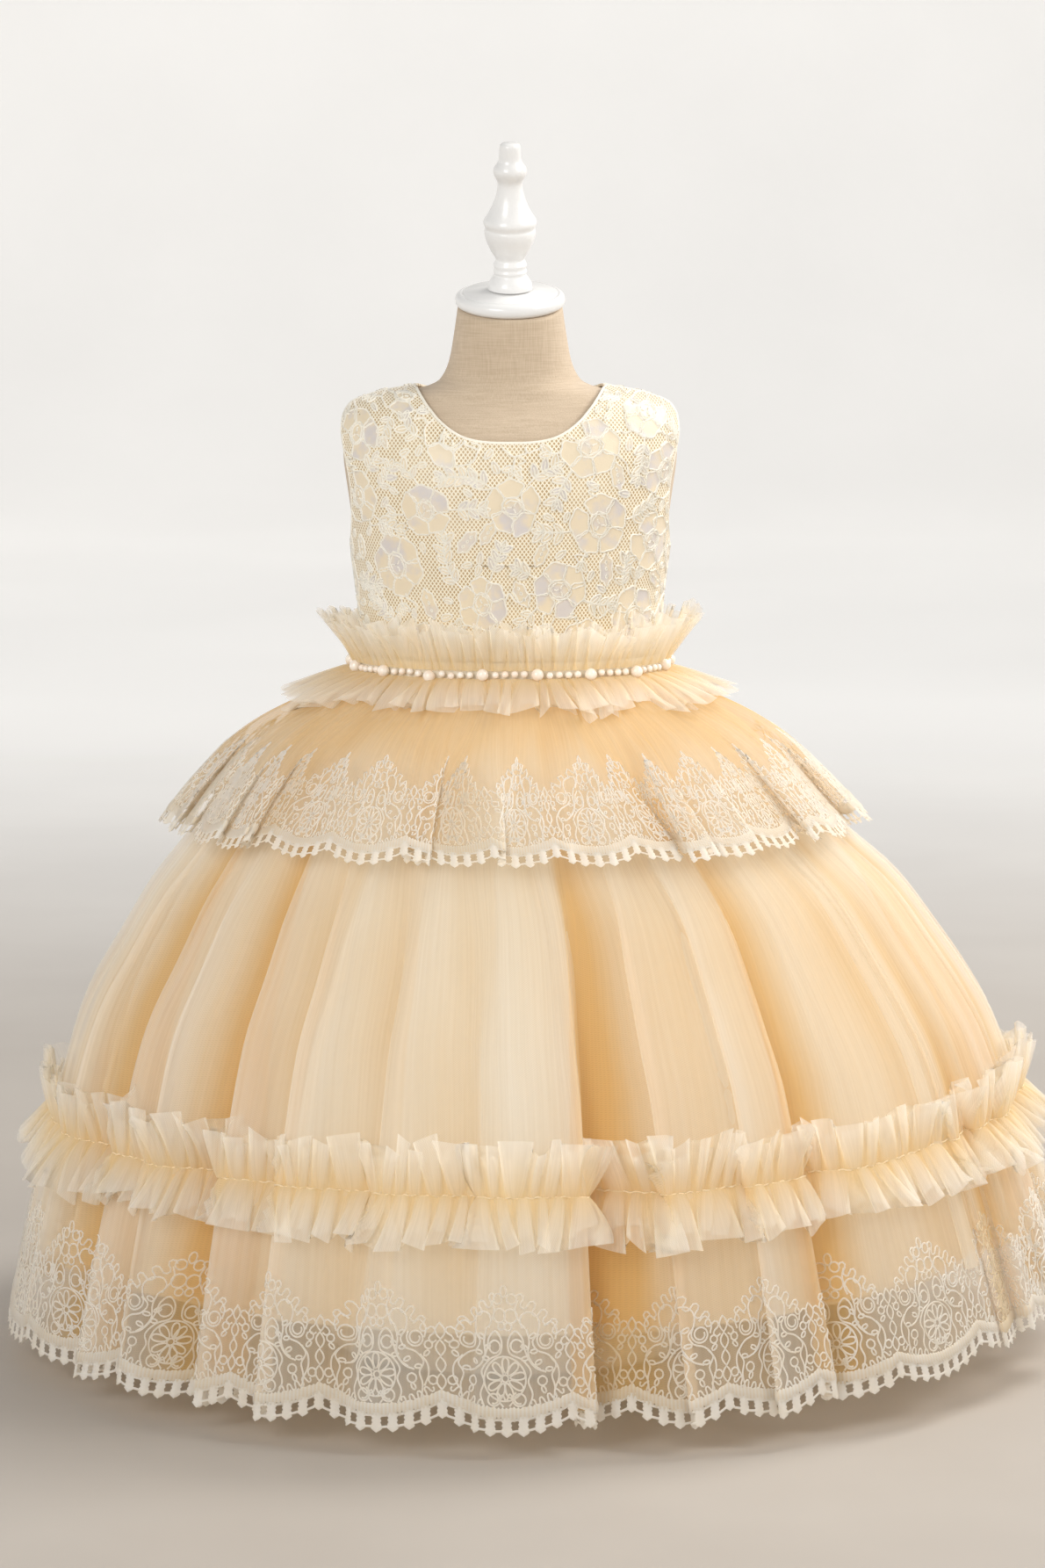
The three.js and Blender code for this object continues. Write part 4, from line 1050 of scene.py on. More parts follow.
class LacePlan:
    """Corded lace drawn flat, in millimetres: closed outlines that are filled, and open lines."""

    def __init__(self, left, right, height, seed):
        self.left, self.right, self.height = left, right, height
        self.random = np.random.default_rng(seed)
        self.outlines, self.lines, self.discs = [], [], []
        roses = self.scatter(*ROSES)
        for x, y, size in roses:
            self.rose(x, y, size)
        for x, y, size in roses:
            for heading in self.random.uniform(0, 2 * np.pi, SPRAYS_EACH):
                self.spray(*from_spot(x, y, size, heading), heading)
        for x, y, size in self.scatter(*PODS):
            self.chain(x, y, size)
        for x, y, size in self.scatter(*LEAVES):
            self.leaf((x, y), size, self.random.uniform(0, 2 * np.pi))
        self.join(roses)

    def free(self, x, y, r):
        return all(math.hypot(x - a, y - b) > r + c for a, b, c in self.discs)

    def scatter(self, tries, smallest, largest, gap, share):
        """Places for motifs that keep clear of what is there, each taking up its share of its size."""
        found = []
        for _ in range(tries):
            x = self.random.uniform(self.left - 3, self.right + 3)
            y = self.random.uniform(-4, self.height + 4)
            size = self.random.uniform(smallest, largest)
            if self.free(x, y, size * share + gap):
                found.append((x, y, size))
                self.discs.append((x, y, size * share))
        return found

    def rose(self, x, y, size):
        """Two wavy rings with scalloped petals round them."""
        turn = self.random.uniform(0, 2 * np.pi)
        petals = int(self.random.integers(5, 7))
        for k in range(petals):
            a = turn + 2 * np.pi * (k + self.random.normal(0, 0.06)) / petals
            reach = size * self.random.uniform(0.64, 0.72)
            wide = size * math.sin(np.pi / petals) * self.random.uniform(0.74, 0.92)
            facing = a + self.random.normal(0, 0.12)
            middle = from_spot(x, y, reach, a)
            self.outlines.append(oval(middle, size * 0.33, wide, facing, 24, 5, 0.09, -0.14))
        self.outlines.append(oval((x, y), size * 0.44, size * 0.35, turn, 22, 8, 0.05))
        self.lines.append(oval((x, y), size * 0.34, size * 0.26, turn + 0.2, 16, 6, 0.06))
        for k in range(3):
            a = turn + 2 * np.pi * k / 3
            stamen = ((0.05, 0.0), (0.14, 0.35), (0.23, 0.2))
            self.lines.append(np.array([from_spot(x, y, size * r, a + bend) for r, bend in stamen]))

    def leaf(self, middle, size, turn):
        self.outlines.append(oval(middle, size, size * 0.5, turn, 14, 0, 0, 0.32))
        along = np.array([math.cos(turn), math.sin(turn)])
        self.lines.append(np.array([np.array(middle) + along * size * k for k in (-0.9, -0.2, 0.45)]))

    def spray(self, x, y, heading):
        """A curving stem that carries leaves until it meets something."""
        curve = self.random.normal(0, 0.16)
        stem = [(x, y)]
        for k in range(int(self.random.integers(3, 6))):
            ahead = heading + curve
            tip = from_spot(x, y, SPRAY_STEP, ahead)
            if not self.free(*from_spot(*tip, 1.5, ahead), 2.6):
                break
            (x, y), heading = tip, ahead
            stem.append((x, y))
            for side in (-1, 1):
                turn = heading + side * self.random.uniform(0.7, 1.0)
                size = self.random.uniform(3.3, 4.3)
                middle = from_spot(x, y, size, turn)
                if self.free(*middle, 1.6):
                    self.leaf(middle, size, turn)
        if len(stem) > 1:
            self.lines.append(np.array(stem))
            self.leaf(from_spot(x, y, 3.4, heading), 3.4, heading)
            self.discs += [(px, py, 5.2) for px, py in stem[1:]]
            self.discs.append((*from_spot(x, y, 4, heading), 3.5))

    def chain(self, x, y, size):
        """A lobed pod with a slit down its middle."""
        turn = self.random.normal(np.pi / 2, 0.5)
        self.outlines.append(oval((x, y), size * 1.15, size * 0.56, turn, 24, 6, 0.11))
        along = np.array([math.cos(turn), math.sin(turn)])
        side = np.array([-along[1], along[0]])
        for at in (-0.5, 0.1, 0.6):
            spot = np.array((x, y)) + along * size * at
            corners = (-along * 1.2, side * 0.7, along * 1.2, -side * 0.7, -along * 1.2)
            self.lines.append(np.array([spot + corner for corner in corners]))

    def join(self, roses):
        """Long wavering cords from each rose to its nearest neighbours."""
        for i, (x, y, size) in enumerate(roses):
            order = sorted((math.hypot(a - x, b - y), k) for k, (a, b, _) in enumerate(roses) if k > i)
            for away, k in order[:2]:
                if away > JOIN_REACH:
                    continue
                a, b, other = roses[k]
                dx, dy = (a - x) / away, (b - y) / away
                shares = np.linspace(size * 0.95 / away, 1 - other * 0.95 / away, JOIN_POINTS)
                bow = np.sin(np.pi * np.linspace(0, 1, JOIN_POINTS))
                sway = self.random.normal(0, 2.4, JOIN_POINTS) + self.random.normal(0, 5) * bow
                sway[[0, -1]] = 0
                self.lines.append(np.array([
                    (x + dx * away * s - dy * w, y + dy * away * s + dx * w) for s, w in zip(shares, sway)
                ]))


def inside_runs(line, inside):
    """The stretches of a line whose points are inside."""
    runs, run = [], []
    for p, ok in zip(line, inside):
        if ok:
            run.append(p)
        elif run:
            runs.append(np.array(run))
            run = []
    if run:
        runs.append(np.array(run))
    return [r for r in runs if len(r) > 1]


# half width, height and lift of the cords, and how far a petal's face stands off the cloth
LACE_CORD, PETAL_LIFT = (0.6, 1.05, 0.02), 0.28
EDGE_CORD, STITCH_CORD, SHIRRING_CORD = (0.95, 0.75), (0.35, 0.42), (0.42, 0.45)


def add_bodice_lace(name, seed):
    """Raised cords round filled petals and leaves, laid on a bodice panel."""
    cloth = CLOTHS[name]
    half_width, height = cloth.round[-1], cloth.up[-1]
    plan = LacePlan(0 if cloth.back else -half_width, half_width, height, seed)
    cords = []
    closed = [smooth_line(outline, 1.25, True) for outline in plan.outlines]
    for line in closed + [smooth_line(line, 1.5) for line in plan.lines]:
        cords += inside_runs(line, cloth.inside(line[:, 0], line[:, 1]))
    sizes = np.cumsum([0] + [len(c) for c in cords])
    flat = np.concatenate(cords)
    low = cloth.place(flat[:, 0], flat[:, 1], SATIN)
    out = cloth.place(flat[:, 0], flat[:, 1], SATIN + 1) - low
    split = [slice(a, b) for a, b in zip(sizes[:-1], sizes[1:])]
    verts, quads = tubes([low[k] for k in split], [out[k] for k in split], *LACE_CORD)
    cord_piece = new_piece(name + "_cords", verts, quads, material=CORD, slot="corded_lace")

    verts, tris, at = [], [], 0
    for outline in plan.outlines:
        if not cloth.inside(outline[:, 0], outline[:, 1]).all():
            continue
        verts.append(np.concatenate([outline, outline.mean(0, keepdims=True)]))
        tris.append(fan(len(outline), np.arange(len(outline))) + at)
        at += len(outline) + 1
    flat = np.concatenate(verts)
    lifted = cloth.place(flat[:, 0], flat[:, 1], SATIN + PETAL_LIFT)
    faces = np.concatenate(tris)
    if name == "bodice_back_left":
        faces = faces[:, ::-1]
    petals = new_piece(
        name + "_petals", lifted, np.zeros((0, 4), int), faces, material=PETAL, slot="corded_lace",
    )
    return [cord_piece, petals]


LACE_SEEDS = {"bodice_front": 5, "bodice_back_left": 8, "bodice_back_right": 13}
BODICE_LACE = {name: add_bodice_lace(name, seed) for name, seed in LACE_SEEDS.items()}


def panel_line(name, s, v):
    """Points on a panel's face, with the directions out of the cloth."""
    low = panel_point(name, s, v, SATIN - 0.2)
    return low, panel_point(name, s, v, SATIN + 0.8) - low


def add_edging():
    """The turned and stitched edges of the bodice: neck, shoulder seams, armholes and side seams."""
    lines = []
    for name, (_, start) in PANELS.items():
        near = 0.996
        v = np.linspace(0, near, 90)
        lines.append(panel_line(name, np.full_like(v, near), v))
        if start < 0:
            lines.append(panel_line(name, np.full_like(v, -near), v))
        s = np.linspace(start * near, near, 150 if start < 0 else 80)
        lines.append(panel_line(name, s, np.full_like(s, near)))
    verts, quads = tubes([line for line, _ in lines], [out for _, out in lines], *EDGE_CORD)
    new_piece("bodice_edging", verts, quads, material=CORD, slot="corded_lace")


ZIP_LOW, ZIP_HIGH, TOOTH_PITCH, TOOTH = 434.5, 566.5, 1.3, (0.75, 0.42, 0.55)
STITCH_AT, STITCH_PITCH, STITCH_LONG = 6.0, 3.2, 2.1


def back_line(x, z, distance):
    """Points on the centre back, x aside of the zip, and the directions out of the cloth."""
    angle = 180 - angle_at_x(np.full_like(z, abs(x)), z)
    angle = angle * (1 if x > 0 else -1)
    low = moved_out(eased_body, angle, z, distance)
    return low, moved_out(eased_body, angle, z, distance + 1) - low


def add_zip_teeth():
    """Interlocking teeth up the zip's chain, in two rows that are half a pitch apart."""
    verts, quads, at = [], [], 0
    corner = np.array([(x, y, z) for z in (0, 1) for x, y in ((-1, -1), (1, -1), (1, 1), (-1, 1))], float)
    sides = np.array([(0, 1, 5, 4), (1, 2, 6, 5), (2, 3, 7, 6), (3, 0, 4, 7), (4, 5, 6, 7), (3, 2, 1, 0)])
    for side in (-1, 1):
        z = np.arange(ZIP_LOW + (TOOTH_PITCH / 2 if side > 0 else 0), ZIP_HIGH, TOOTH_PITCH)
        low, out = back_line(0.0001, z, SATIN + 0.4)
        for foot, away in zip(low, out):
            up = np.cross(away, (-1.0, 0.0, 0.0))
            across = np.array([-1.0, 0.0, 0.0])
            box = corner * (TOOTH[0], TOOTH[1], TOOTH[2])
            spot = foot + across * 0.55 * side
            verts.append(spot + box[:, :1] * across + box[:, 1:2] * up + box[:, 2:] * away)
            quads.append(sides + at)
            at += 8
    new_piece("zip_teeth", np.concatenate(verts), np.concatenate(quads), material=ZIP, slot="zip")


def add_zip_stitches():
    """A row of stitches down each side of the zip, which hold its tape to the back panels."""
    lines, outs = [], []
    for side in (-1, 1):
        for low_z in np.arange(ZIP_LOW, NECK_BACK - 6, STITCH_PITCH):
            z = np.linspace(low_z, low_z + STITCH_LONG, 4)
            points, out = back_line(side * STITCH_AT, z, SATIN - 0.1)
            lines.append(points)
            outs.append(out)
    verts, quads = tubes(lines, outs, *STITCH_CORD)
    new_piece("zip_stitches", verts, quads, material=CORD, slot="corded_lace")


add_edging()
add_zip_teeth()
add_zip_stitches()

# ---------------------------------------------------------------- skirts


def edge_shares(surface, z, columns=4000):
    """Angles round the cloth's edge, and its length up to each of them."""
    angles = np.linspace(-180, 180, columns + 1)
    points = surface(angles, np.full_like(angles, z))
    lengths = run_length(points)
    return angles, lengths


def scallop(share, height):
    return height * (1 - np.sin(np.pi * (share % 1)) ** 0.8)


SKIRT_ANGLES, SKIRT_LENGTHS = edge_shares(outer_skirt, 0)
SKIRT_REPEATS = int(round(SKIRT_LENGTHS[-1] / SCALLOP_LENGTH))
PEPLUM_ANGLES, PEPLUM_LENGTHS = edge_shares(peplum, PEPLUM_HEM - HEM)
PEPLUM_REPEATS = int(round(PEPLUM_LENGTHS[-1] / PEPLUM_SCALLOP_LENGTH))
NET_END = 11.0  # the net stops at the satin band; below it are the ladder's bars
PEPLUM_NET_END = 7.6


def repeat_at(angles, table, lengths, repeats):
    return np.interp(angles, table, lengths) / lengths[-1] * repeats


def skirt_hem(angles):
    return scallop(repeat_at(angles, SKIRT_ANGLES, SKIRT_LENGTHS, SKIRT_REPEATS), SCALLOP_HEIGHT) + NET_END


def peplum_hem(angles):
    share = repeat_at(angles, PEPLUM_ANGLES, PEPLUM_LENGTHS, PEPLUM_REPEATS)
    return PEPLUM_HEM - HEM + scallop(share, PEPLUM_SCALLOP_HEIGHT) + PEPLUM_NET_END


def spaced(top, bottom, rows, power=1.35):
    """Heights from the top down, closer together near the top."""
    return top - (top - bottom) * np.linspace(0, 1, rows) ** power


skirt = shell_piece(
    "skirt_tulle", outer_skirt, spaced(CREST, NET_END, 46), 960, hem=skirt_hem, width=SKIRT_LENGTHS[-1],
    material=TULLE, slot="tulle", replaces=("overskirt_front", "overskirt_back"),
)
skirt_inner = shell_piece(
    "skirt_tulle_inner", inner_skirt, spaced(CREST - 1, UNDERSKIRT_HEM - HEM + 7, 36), 720, width=2300.0,
    material=TULLE_IN, slot="tulle",
)
skirt_lining = shell_piece(
    "skirt_lining", lining, spaced(CREST, UNDERSKIRT_HEM - HEM, 30), 288, width=1850.0, material=LINING,
    slot="lining", replaces=("underskirt",),
)
# The peplum's net gets painted shade near the waist, under the frills.
peplum_net = shell_piece(
    "peplum_net", peplum, spaced(CREST, PEPLUM_HEM - HEM + PEPLUM_NET_END, 26), 900, hem=peplum_hem,
    width=PEPLUM_LENGTHS[-1], waist_shade=0.9, material=LACE_NET, slot="border_lace", replaces=("peplum",),
)

# ---------------------------------------------------------------- border lace


def circle(x, y, r, turns=1.0, start=0.0, shrink=0.0):
    """A ring of thread, or a spiral where it shrinks."""
    n = max(7, int(2 * np.pi * r * turns / 1.5))
    t = np.linspace(0, 1, n + 1)
    radius = r * (1 - shrink * t)
    a = start + 2 * np.pi * turns * t
    return np.stack([x + radius * np.cos(a), y + radius * np.sin(a)], -1)


def meander(path, amplitude, length, bulb=0.3):
    """A wave along a path whose crests bulge, as a laid thread does."""
    base = smooth_line(path, 0.8)
    run = run_length(base)
    total = run[-1]
    waves = max(1, round(total / length))
    s = np.linspace(0, total, waves * 9 + 1)
    x, y = np.interp(s, run, base[:, 0]), np.interp(s, run, base[:, 1])
    along = np.gradient(np.stack([x, y], -1), axis=0)
    along /= np.linalg.norm(along, axis=-1, keepdims=True)
    side = np.stack([-along[:, 1], along[:, 0]], -1)
    phase = 2 * np.pi * waves * s / total
    swing = np.sin(phase)
    lean = -bulb * length / 2 * np.sin(2 * phase) * 0.55
    return np.stack([x, y], -1) + side * (amplitude * swing)[:, None] + along * lean[:, None]


def border_strokes():
    """One repeat of the border's laid thread, flat: u across from its middle and v up from the band."""
    half = [
        smooth_line([(13.5, 1), (15.8, 8), (13.6, 15), (15.2, 21), (10.4, 27.5), (3.4, 31), (2.6, 38.5),
                     (6.6, 43.5), (10.6, 40), (12, 33.5), (14.5, 27), (18.5, 22.5), (24, 20.5)], 1.6),
        circle(6.8, 35.2, 3.6, 1.25, 0.5),
        circle(7.8, 5.4, 4.4, 1.5, 2.0, 0.45),
        smooth_line([(2.2, 1), (4.6, 4.5), (2.6, 8), (0.8, 4.5)], 1.6),
        smooth_line([(27, 3), (28.4, 12), (26.8, 19), (29.5, 25), (25, 30.5), (18.5, 33), (16, 38),
                     (19.2, 43), (20, 49.5), (16.5, 54), (11.5, 54), (9, 50), (10.5, 45.5)], 1.6),
        smooth_line([(29, 11), (31.6, 17.5), (31, 24), (27, 29)], 1.6),
        smooth_line([(12.5, 45), (14, 38), (13.2, 31), (15.5, 25.5), (20, 22)], 1.6),
        circle(24, 38.4, 5.4, 1.7, 2.4, 0.55),
        smooth_line([(29.4, 38.5), (30.5, 44), (27, 48.5), (23, 46)], 1.6),
        circle(21.5, 15.5, 2.7, 1.0, 1.0),
        meander([(14.5, 2.5), (20, 4), (27, 7), (33, 11)], 2.3, 4.6, 0.25),
        meander([(36.5, 37), (30, 45), (22.5, 52), (14, 58), (6.5, 62.5)], 3.3, 8.2, 0.35),
        circle(3.6, 52.5, 4.0, 1.0, 0.2),
        circle(2.4, 46.2, 2.3, 1.0, 0.2),
        smooth_line([(8.6, 61), (6.8, 55), (9.6, 48), (12.4, 45)], 1.6),
        circle(4.4, 61.8, 3.0, 1.2, 2.0),
        circle(33.2, 14.6, 2.5, 1.1, 4.0),
        circle(32, 34.5, 2.3, 1.0, 1.0),
    ]
    small_leaves = [
        (15.8, 41, 0.6), (11.2, 35, 2.6), (16.6, 32.4, 0.2), (12.2, 28.4, 3.4), (18.8, 26.2, 0.5),
        (25.6, 22, 0.1), (22.6, 10.6, 2.0), (31.5, 29.8, 0.8),
    ]
    for x, y, turn in small_leaves:
        half.append(smooth_line(oval((x, y), 2.1, 1.15, turn, 8), 1.5, True))
    v = np.linspace(9, 47, 25)
    half.append(np.stack([38.5 - 2.7 * np.abs(np.sin(np.pi * (v - 9) / 9.5)), v], -1))
    middle = [circle(0, 17, 2.1, 1.0, 0.0), circle(0, 17, 12.6, 1.0, 0.4)]
    middle += [smooth_line(oval((0, 66), 3.4, 2.1, math.pi / 2, 10), 1.5, True)]
    for k in range(9):
        a = math.pi / 2 + 2 * math.pi * k / 9
        spot = (7.2 * math.cos(a), 17 + 7.2 * math.sin(a))
        middle.append(smooth_line(oval(spot, 4.6, 2.0, a, 10, 0, 0, -0.25), 1.5, True))
    return half + [line * (-1, 1) for line in half] + middle


STROKES = border_strokes()
# The peplum's motif is smaller, so every second point draws it as smoothly.
SMALL_STROKES = [np.concatenate([line[:-1:2], line[-1:]]) for line in STROKES]


class Edge:
    """A lace edge on a skirt: turns (repeat, height) on the flat lace into points on the cloth."""

    def __init__(self, surface, folds, tint, table, lengths, repeats, hem, height, scale):
        self.surface, self.table, self.lengths, self.repeats = surface, table, lengths, repeats
        self.folds, self.tint = folds, tint
        self.hem, self.height, self.scale = hem, height, scale

    def angle_at(self, repeat):
        return np.interp(np.asarray(repeat) / self.repeats * self.lengths[-1], self.lengths, self.table)

    def spots(self, repeat, above):
        """repeat counts along the edge, above is the height over the straight hem line."""
        angle = self.angle_at(repeat)
        z = self.hem + np.asarray(above, float)
        points = self.surface(angle, z)
        return points, normal(self.surface, angle, z, 0.12)

    def curve(self, repeat):
        return scallop(repeat, self.height)

    def painted_shade(self, repeat):
        """Painted shade: the lace in a deep fold is darkened to the fold's amber."""
        return self.tint * smooth(fold_at(self.folds, self.angle_at(repeat))[0], 0.25, 0.9)


# The third argument is how strongly painted shade darkens the lace in deep folds.
SKIRT_EDGE = Edge(
    outer_skirt, SKIRT_FOLDS, 0.8, SKIRT_ANGLES, SKIRT_LENGTHS, SKIRT_REPEATS, 0.0, SCALLOP_HEIGHT, 1.0
)
PEPLUM_EDGE = Edge(
    peplum, PEPLUM_FOLDS, 0.3, PEPLUM_ANGLES, PEPLUM_LENGTHS, PEPLUM_REPEATS, PEPLUM_HEM - HEM,
    PEPLUM_SCALLOP_HEIGHT, 0.69,
)


def laid_thread(name, edge, first, last, half_width, rise, strokes):
    """The border's thread over repeats first..last."""
    flat, sizes = [], [0]
    for n in range(first, last):
        local = np.random.default_rng(1000 + n)
        for line in strokes:
            sway = local.normal(0, 0.35, 2)
            repeat = n + 0.5 + (line[:, 0] + sway[0]) / SCALLOP_LENGTH
            above = rise + (line[:, 1] + sway[1] * 0.6) * edge.scale
            flat.append(np.stack([repeat, above], -1))
            sizes.append(sizes[-1] + len(line))
    flat = np.concatenate(flat)
    floor = edge.curve(flat[:, 0]) + rise
    flat[:, 1] = np.maximum(flat[:, 1], floor)
    points, out = edge.spots(flat[:, 0], flat[:, 1])
    split = [slice(a, b) for a, b in zip(sizes[:-1], sizes[1:])]
    lines, outs = [points[k] for k in split], [out[k] for k in split]
    verts, quads = tubes(lines, outs, half_width, half_width * 1.2, 0.1)
    # Painted shade on the thread where it lies in a deep fold.
    painted_shade = np.repeat(edge.painted_shade(flat[:, 0]), 3)
    return new_piece(name, verts, quads, painted_shade=painted_shade, material=BORDER, slot="border_lace")


def satin_band(name, edge, low, high, stitch, thick):
    """A band of close upright stitches that follows the scallops, with a comb-like lower edge."""
    per = int(round(edge.lengths[-1] / edge.repeats / stitch)) * 2
    columns = per * edge.repeats
    repeat = np.arange(columns) / per
    ridge = (np.arange(columns) % 2).astype(float)
    base = edge.curve(repeat)
    ragged = 0.9 * edge.scale * np.random.default_rng(7).uniform(-1, 1, columns)
    comb_low = low - (1.6 * ridge + ragged) * edge.scale
    comb_high = high + (0.6 * ridge + 0.6 * ragged) * edge.scale
    shares = np.array([0.0, 0.08, 0.5, 0.92, 1.0])
    lift = np.array([0.0, 0.75, 1.0, 0.75, 0.0])
    rows = []
    for share, up in zip(shares, lift):
        above = base + mix(comb_low, comb_high, share)
        points, out = edge.spots(repeat, above)
        rows.append(points + out * (0.1 + thick * up * (0.2 + 0.8 * ridge))[:, None])
    points = np.stack(rows[::-1])
    quads = grid_quads(len(shares), columns, True)
    # Painted shade in the valleys between the stitches and where the band lies in a deep fold.
    painted_shade = np.tile(0.4 * (1 - ridge) + 0.7 * edge.painted_shade(repeat), len(shares))
    return new_piece(name, points.reshape(-1, 3), quads, painted_shade=painted_shade, material=BORDER, slot="border_lace")


def ladder(name, edge, low, high, per_repeat, bar_half, thick):
    """Satin-stitched bars below the band, ending in rounded picots, with the threads that join them."""
    verts, quads, at = [], [], 0
    length = edge.lengths[-1] / edge.repeats
    rows, columns = 11, 5
    down = np.linspace(1, 0, rows)
    tip = 0.3
    picot = np.sqrt(np.clip(1 - ((tip - down) / tip) ** 2, 0, 1)) * 1.12 + 0.02
    shape = bar_half * np.where(down < tip, picot, 1.0)
    stitch = np.cos(np.arange(rows) * np.pi)
    shape = shape * (1 + 0.14 * stitch)
    across = np.linspace(-1, 1, columns)
    for n in range(edge.repeats):
        for k in range(per_repeat):
            middle = n + k / per_repeat
            repeat = middle + across[None, :] * shape[:, None] / length
            above = edge.curve(np.array([middle]))[0] + mix(low, high, down)[:, None] + 0 * repeat
            points, out = edge.spots(repeat, above)
            lift = thick * np.sqrt(np.clip(1 - across**2, 0, 1))[None, :] * (0.8 + 0.2 * stitch)[:, None]
            points = points + out * (0.15 + lift)[..., None]
            verts.append(points.reshape(-1, 3))
            quads.append(grid_quads(rows, columns, offset=at))
            at += rows * columns
    lines, outs = [], []
    count = 24 * edge.repeats + 1
    repeat = np.linspace(0, edge.repeats, count)
    for share in (0.30, 0.86):
        wave = 0.25 * np.sin(np.arange(count) * 2.1)
        points, out = edge.spots(repeat, edge.curve(repeat) + mix(low, high, share) + wave * edge.scale)
        lines.append(points)
        outs.append(out)
    thread_verts, thread_quads = tubes(lines, outs, 0.62 * edge.scale + 0.1, 0.75 * edge.scale, 0.1)
    verts.append(thread_verts)
    quads.append(thread_quads + at)
    return new_piece(name, np.concatenate(verts), np.concatenate(quads), material=BORDER, slot="border_lace")


# thread: half width, and height over the hem where it starts
SKIRT_THREAD, PEPLUM_THREAD = (0.54, 16.5), (0.46, 11.4)
half_way = SKIRT_REPEATS // 2
skirt_lace = [
    laid_thread("skirt_border_thread_a", SKIRT_EDGE, 0, half_way, *SKIRT_THREAD, STROKES),
    laid_thread("skirt_border_thread_b", SKIRT_EDGE, half_way, SKIRT_REPEATS, *SKIRT_THREAD, STROKES),
    satin_band("skirt_border_band", SKIRT_EDGE, 10.9, 16.6, 2.3, 1.25),
    ladder("skirt_border_ladder", SKIRT_EDGE, 0.2, 11.6, 8, 2.75, 0.8),
]
peplum_lace = [
    laid_thread("peplum_border_thread", PEPLUM_EDGE, 0, PEPLUM_REPEATS, *PEPLUM_THREAD, SMALL_STROKES),
    satin_band("peplum_border_band", PEPLUM_EDGE, 7.5, 11.5, 1.7, 0.9),
    ladder("peplum_border_ladder", PEPLUM_EDGE, 0.2, 8.0, 6, 2.3, 0.7),
]

# ---------------------------------------------------------------- frills

BAND_IN = BODICE_EASE + 0.6
BAND_OUT = BAND_IN + BAND_WALL + SEAM  # where what is sewn to the waist band starts


def waist_point(angle, out):
    angle = np.asarray(angle, float)
    flat = body(angle, WAIST)
    side = normal(body, angle, np.full_like(angle, float(WAIST)))
    side[..., 2] = 0
    side /= np.linalg.norm(side, axis=-1, keepdims=True)
    return flat + side * np.asarray(out)[..., None], side


# One pleat in section where the cloth is free: across it, in its own widths, and outward, in its own depths.
# Its face laps over both neighbours and the cloth turns back under it.
PLEAT = np.array([
    (0.06, 0.0), (-0.10, 0.30), (-0.17, 0.74), (-0.07, 0.98), (0.28, 1.08), (0.70, 1.02), (1.05, 0.94),
    (1.15, 0.66), (1.06, 0.26), (0.94, 0.0),
])


class Frill:
    """A strip gathered along a seam. `seam(angle)` is the line it is sewn to and `spot(angle, up)` gives the
    point and outward direction of what it lies against, `up` from the seam."""

    def __init__(self, seam, spot):
        self.spot = spot
        self.angles = np.linspace(-180, 180, 2881)
        self.run = run_length(seam(self.angles))

    def angle_at(self, along):
        turns, rest = np.divmod(along, self.run[-1])
        return np.interp(rest, self.run, self.angles) + 360 * turns

    def layer(
        self, name, fullness, reach_share, replaces, pitch, rise, root_out, tip_out, depth, seed, curl, sway,
    ):
        """One layer: pleats of uneven width, depth, lean and length."""
        local = np.random.default_rng(seed)
        count = int(round(self.run[-1] / pitch))
        width = local.uniform(0.55, 1.3, count) * np.where(local.random(count) < 0.17, 1.9, 1.0)
        width *= self.run[-1] / width.sum()
        start = np.concatenate([[0], np.cumsum(width)[:-1]])
        deep = depth * local.uniform(0.6, 1.3, count)
        lean = local.normal(0, 0.42, count)
        lean = (0.6 * lean + 0.4 * np.roll(lean, 1)) * pitch
        longer, slant = local.normal(0, 0.08, count), local.normal(0, 0.15, count)
        across, out = PLEAT[:, 0], PLEAT[:, 1]
        full = local.uniform(*fullness, count)[:, None]
        across = (1 - full) / 2 + full * across
        even = np.linspace(0.05, 0.95, len(PLEAT))
        columns = count * len(PLEAT)
        rows = []
        shares = np.linspace(0, 1, 8)
        for share in shares:
            opened = share**0.7
            along = start[:, None] + width[:, None] * mix(even, across, opened) + (lean * share**1.4)[:, None]
            angle = self.angle_at(along.ravel())
            swing = wobble(angle, seed + 1, (5, 9, 14, 19))
            reach = reach_share(angle) * (1 + 0.22 * wobble(angle, seed + 2, (4, 7, 11)))
            lift = root_out + (tip_out - root_out) * share**curl * reach + sway * share * swing
            lift = lift + (deep[:, None] * out * (0.3 + 0.7 * opened)).ravel()
            uneven = (longer[:, None] + slant[:, None] * (across - 0.5)).ravel()
            longest = 1 + share * uneven + 0.05 * share * swing
            base, side = self.spot(angle, rise * share * longest)
            rows.append(base + side * lift[:, None])
        points = np.stack(rows)
        # Painted shade: darker towards the gathered seam and on the back of each pleat, where the cloth turns
        # under.
        painted_shade = 0.75 * (1 - shares[:, None]) ** 1.6 + 0.4 * np.tile(1 - out, count)[None]
        if rise > 0:
            points, painted_shade = points[::-1], painted_shade[::-1]
        free_edge = points[0 if rise > 0 else -1]
        u = np.repeat(run_length(free_edge)[None], len(rows), 0)
        v = np.repeat(np.linspace(0, -abs(rise), len(rows))[:, None], columns, 1)
        return new_piece(
            name, points.reshape(-1, 3), grid_quads(len(rows), columns, True), painted_shade=painted_shade,
            uv=grid_uv(u * MM, v * MM, True), material=FRILL, slot="tulle", replaces=replaces,
        )


def waist_frill(height):
    def spot(angle, up):
        base, side = waist_point(angle, np.zeros_like(angle))
        base[:, 2] = height + up
        return base, side

    return Frill(lambda angle: waist_point(angle, np.full_like(angle, BAND_OUT + 4))[0], spot)


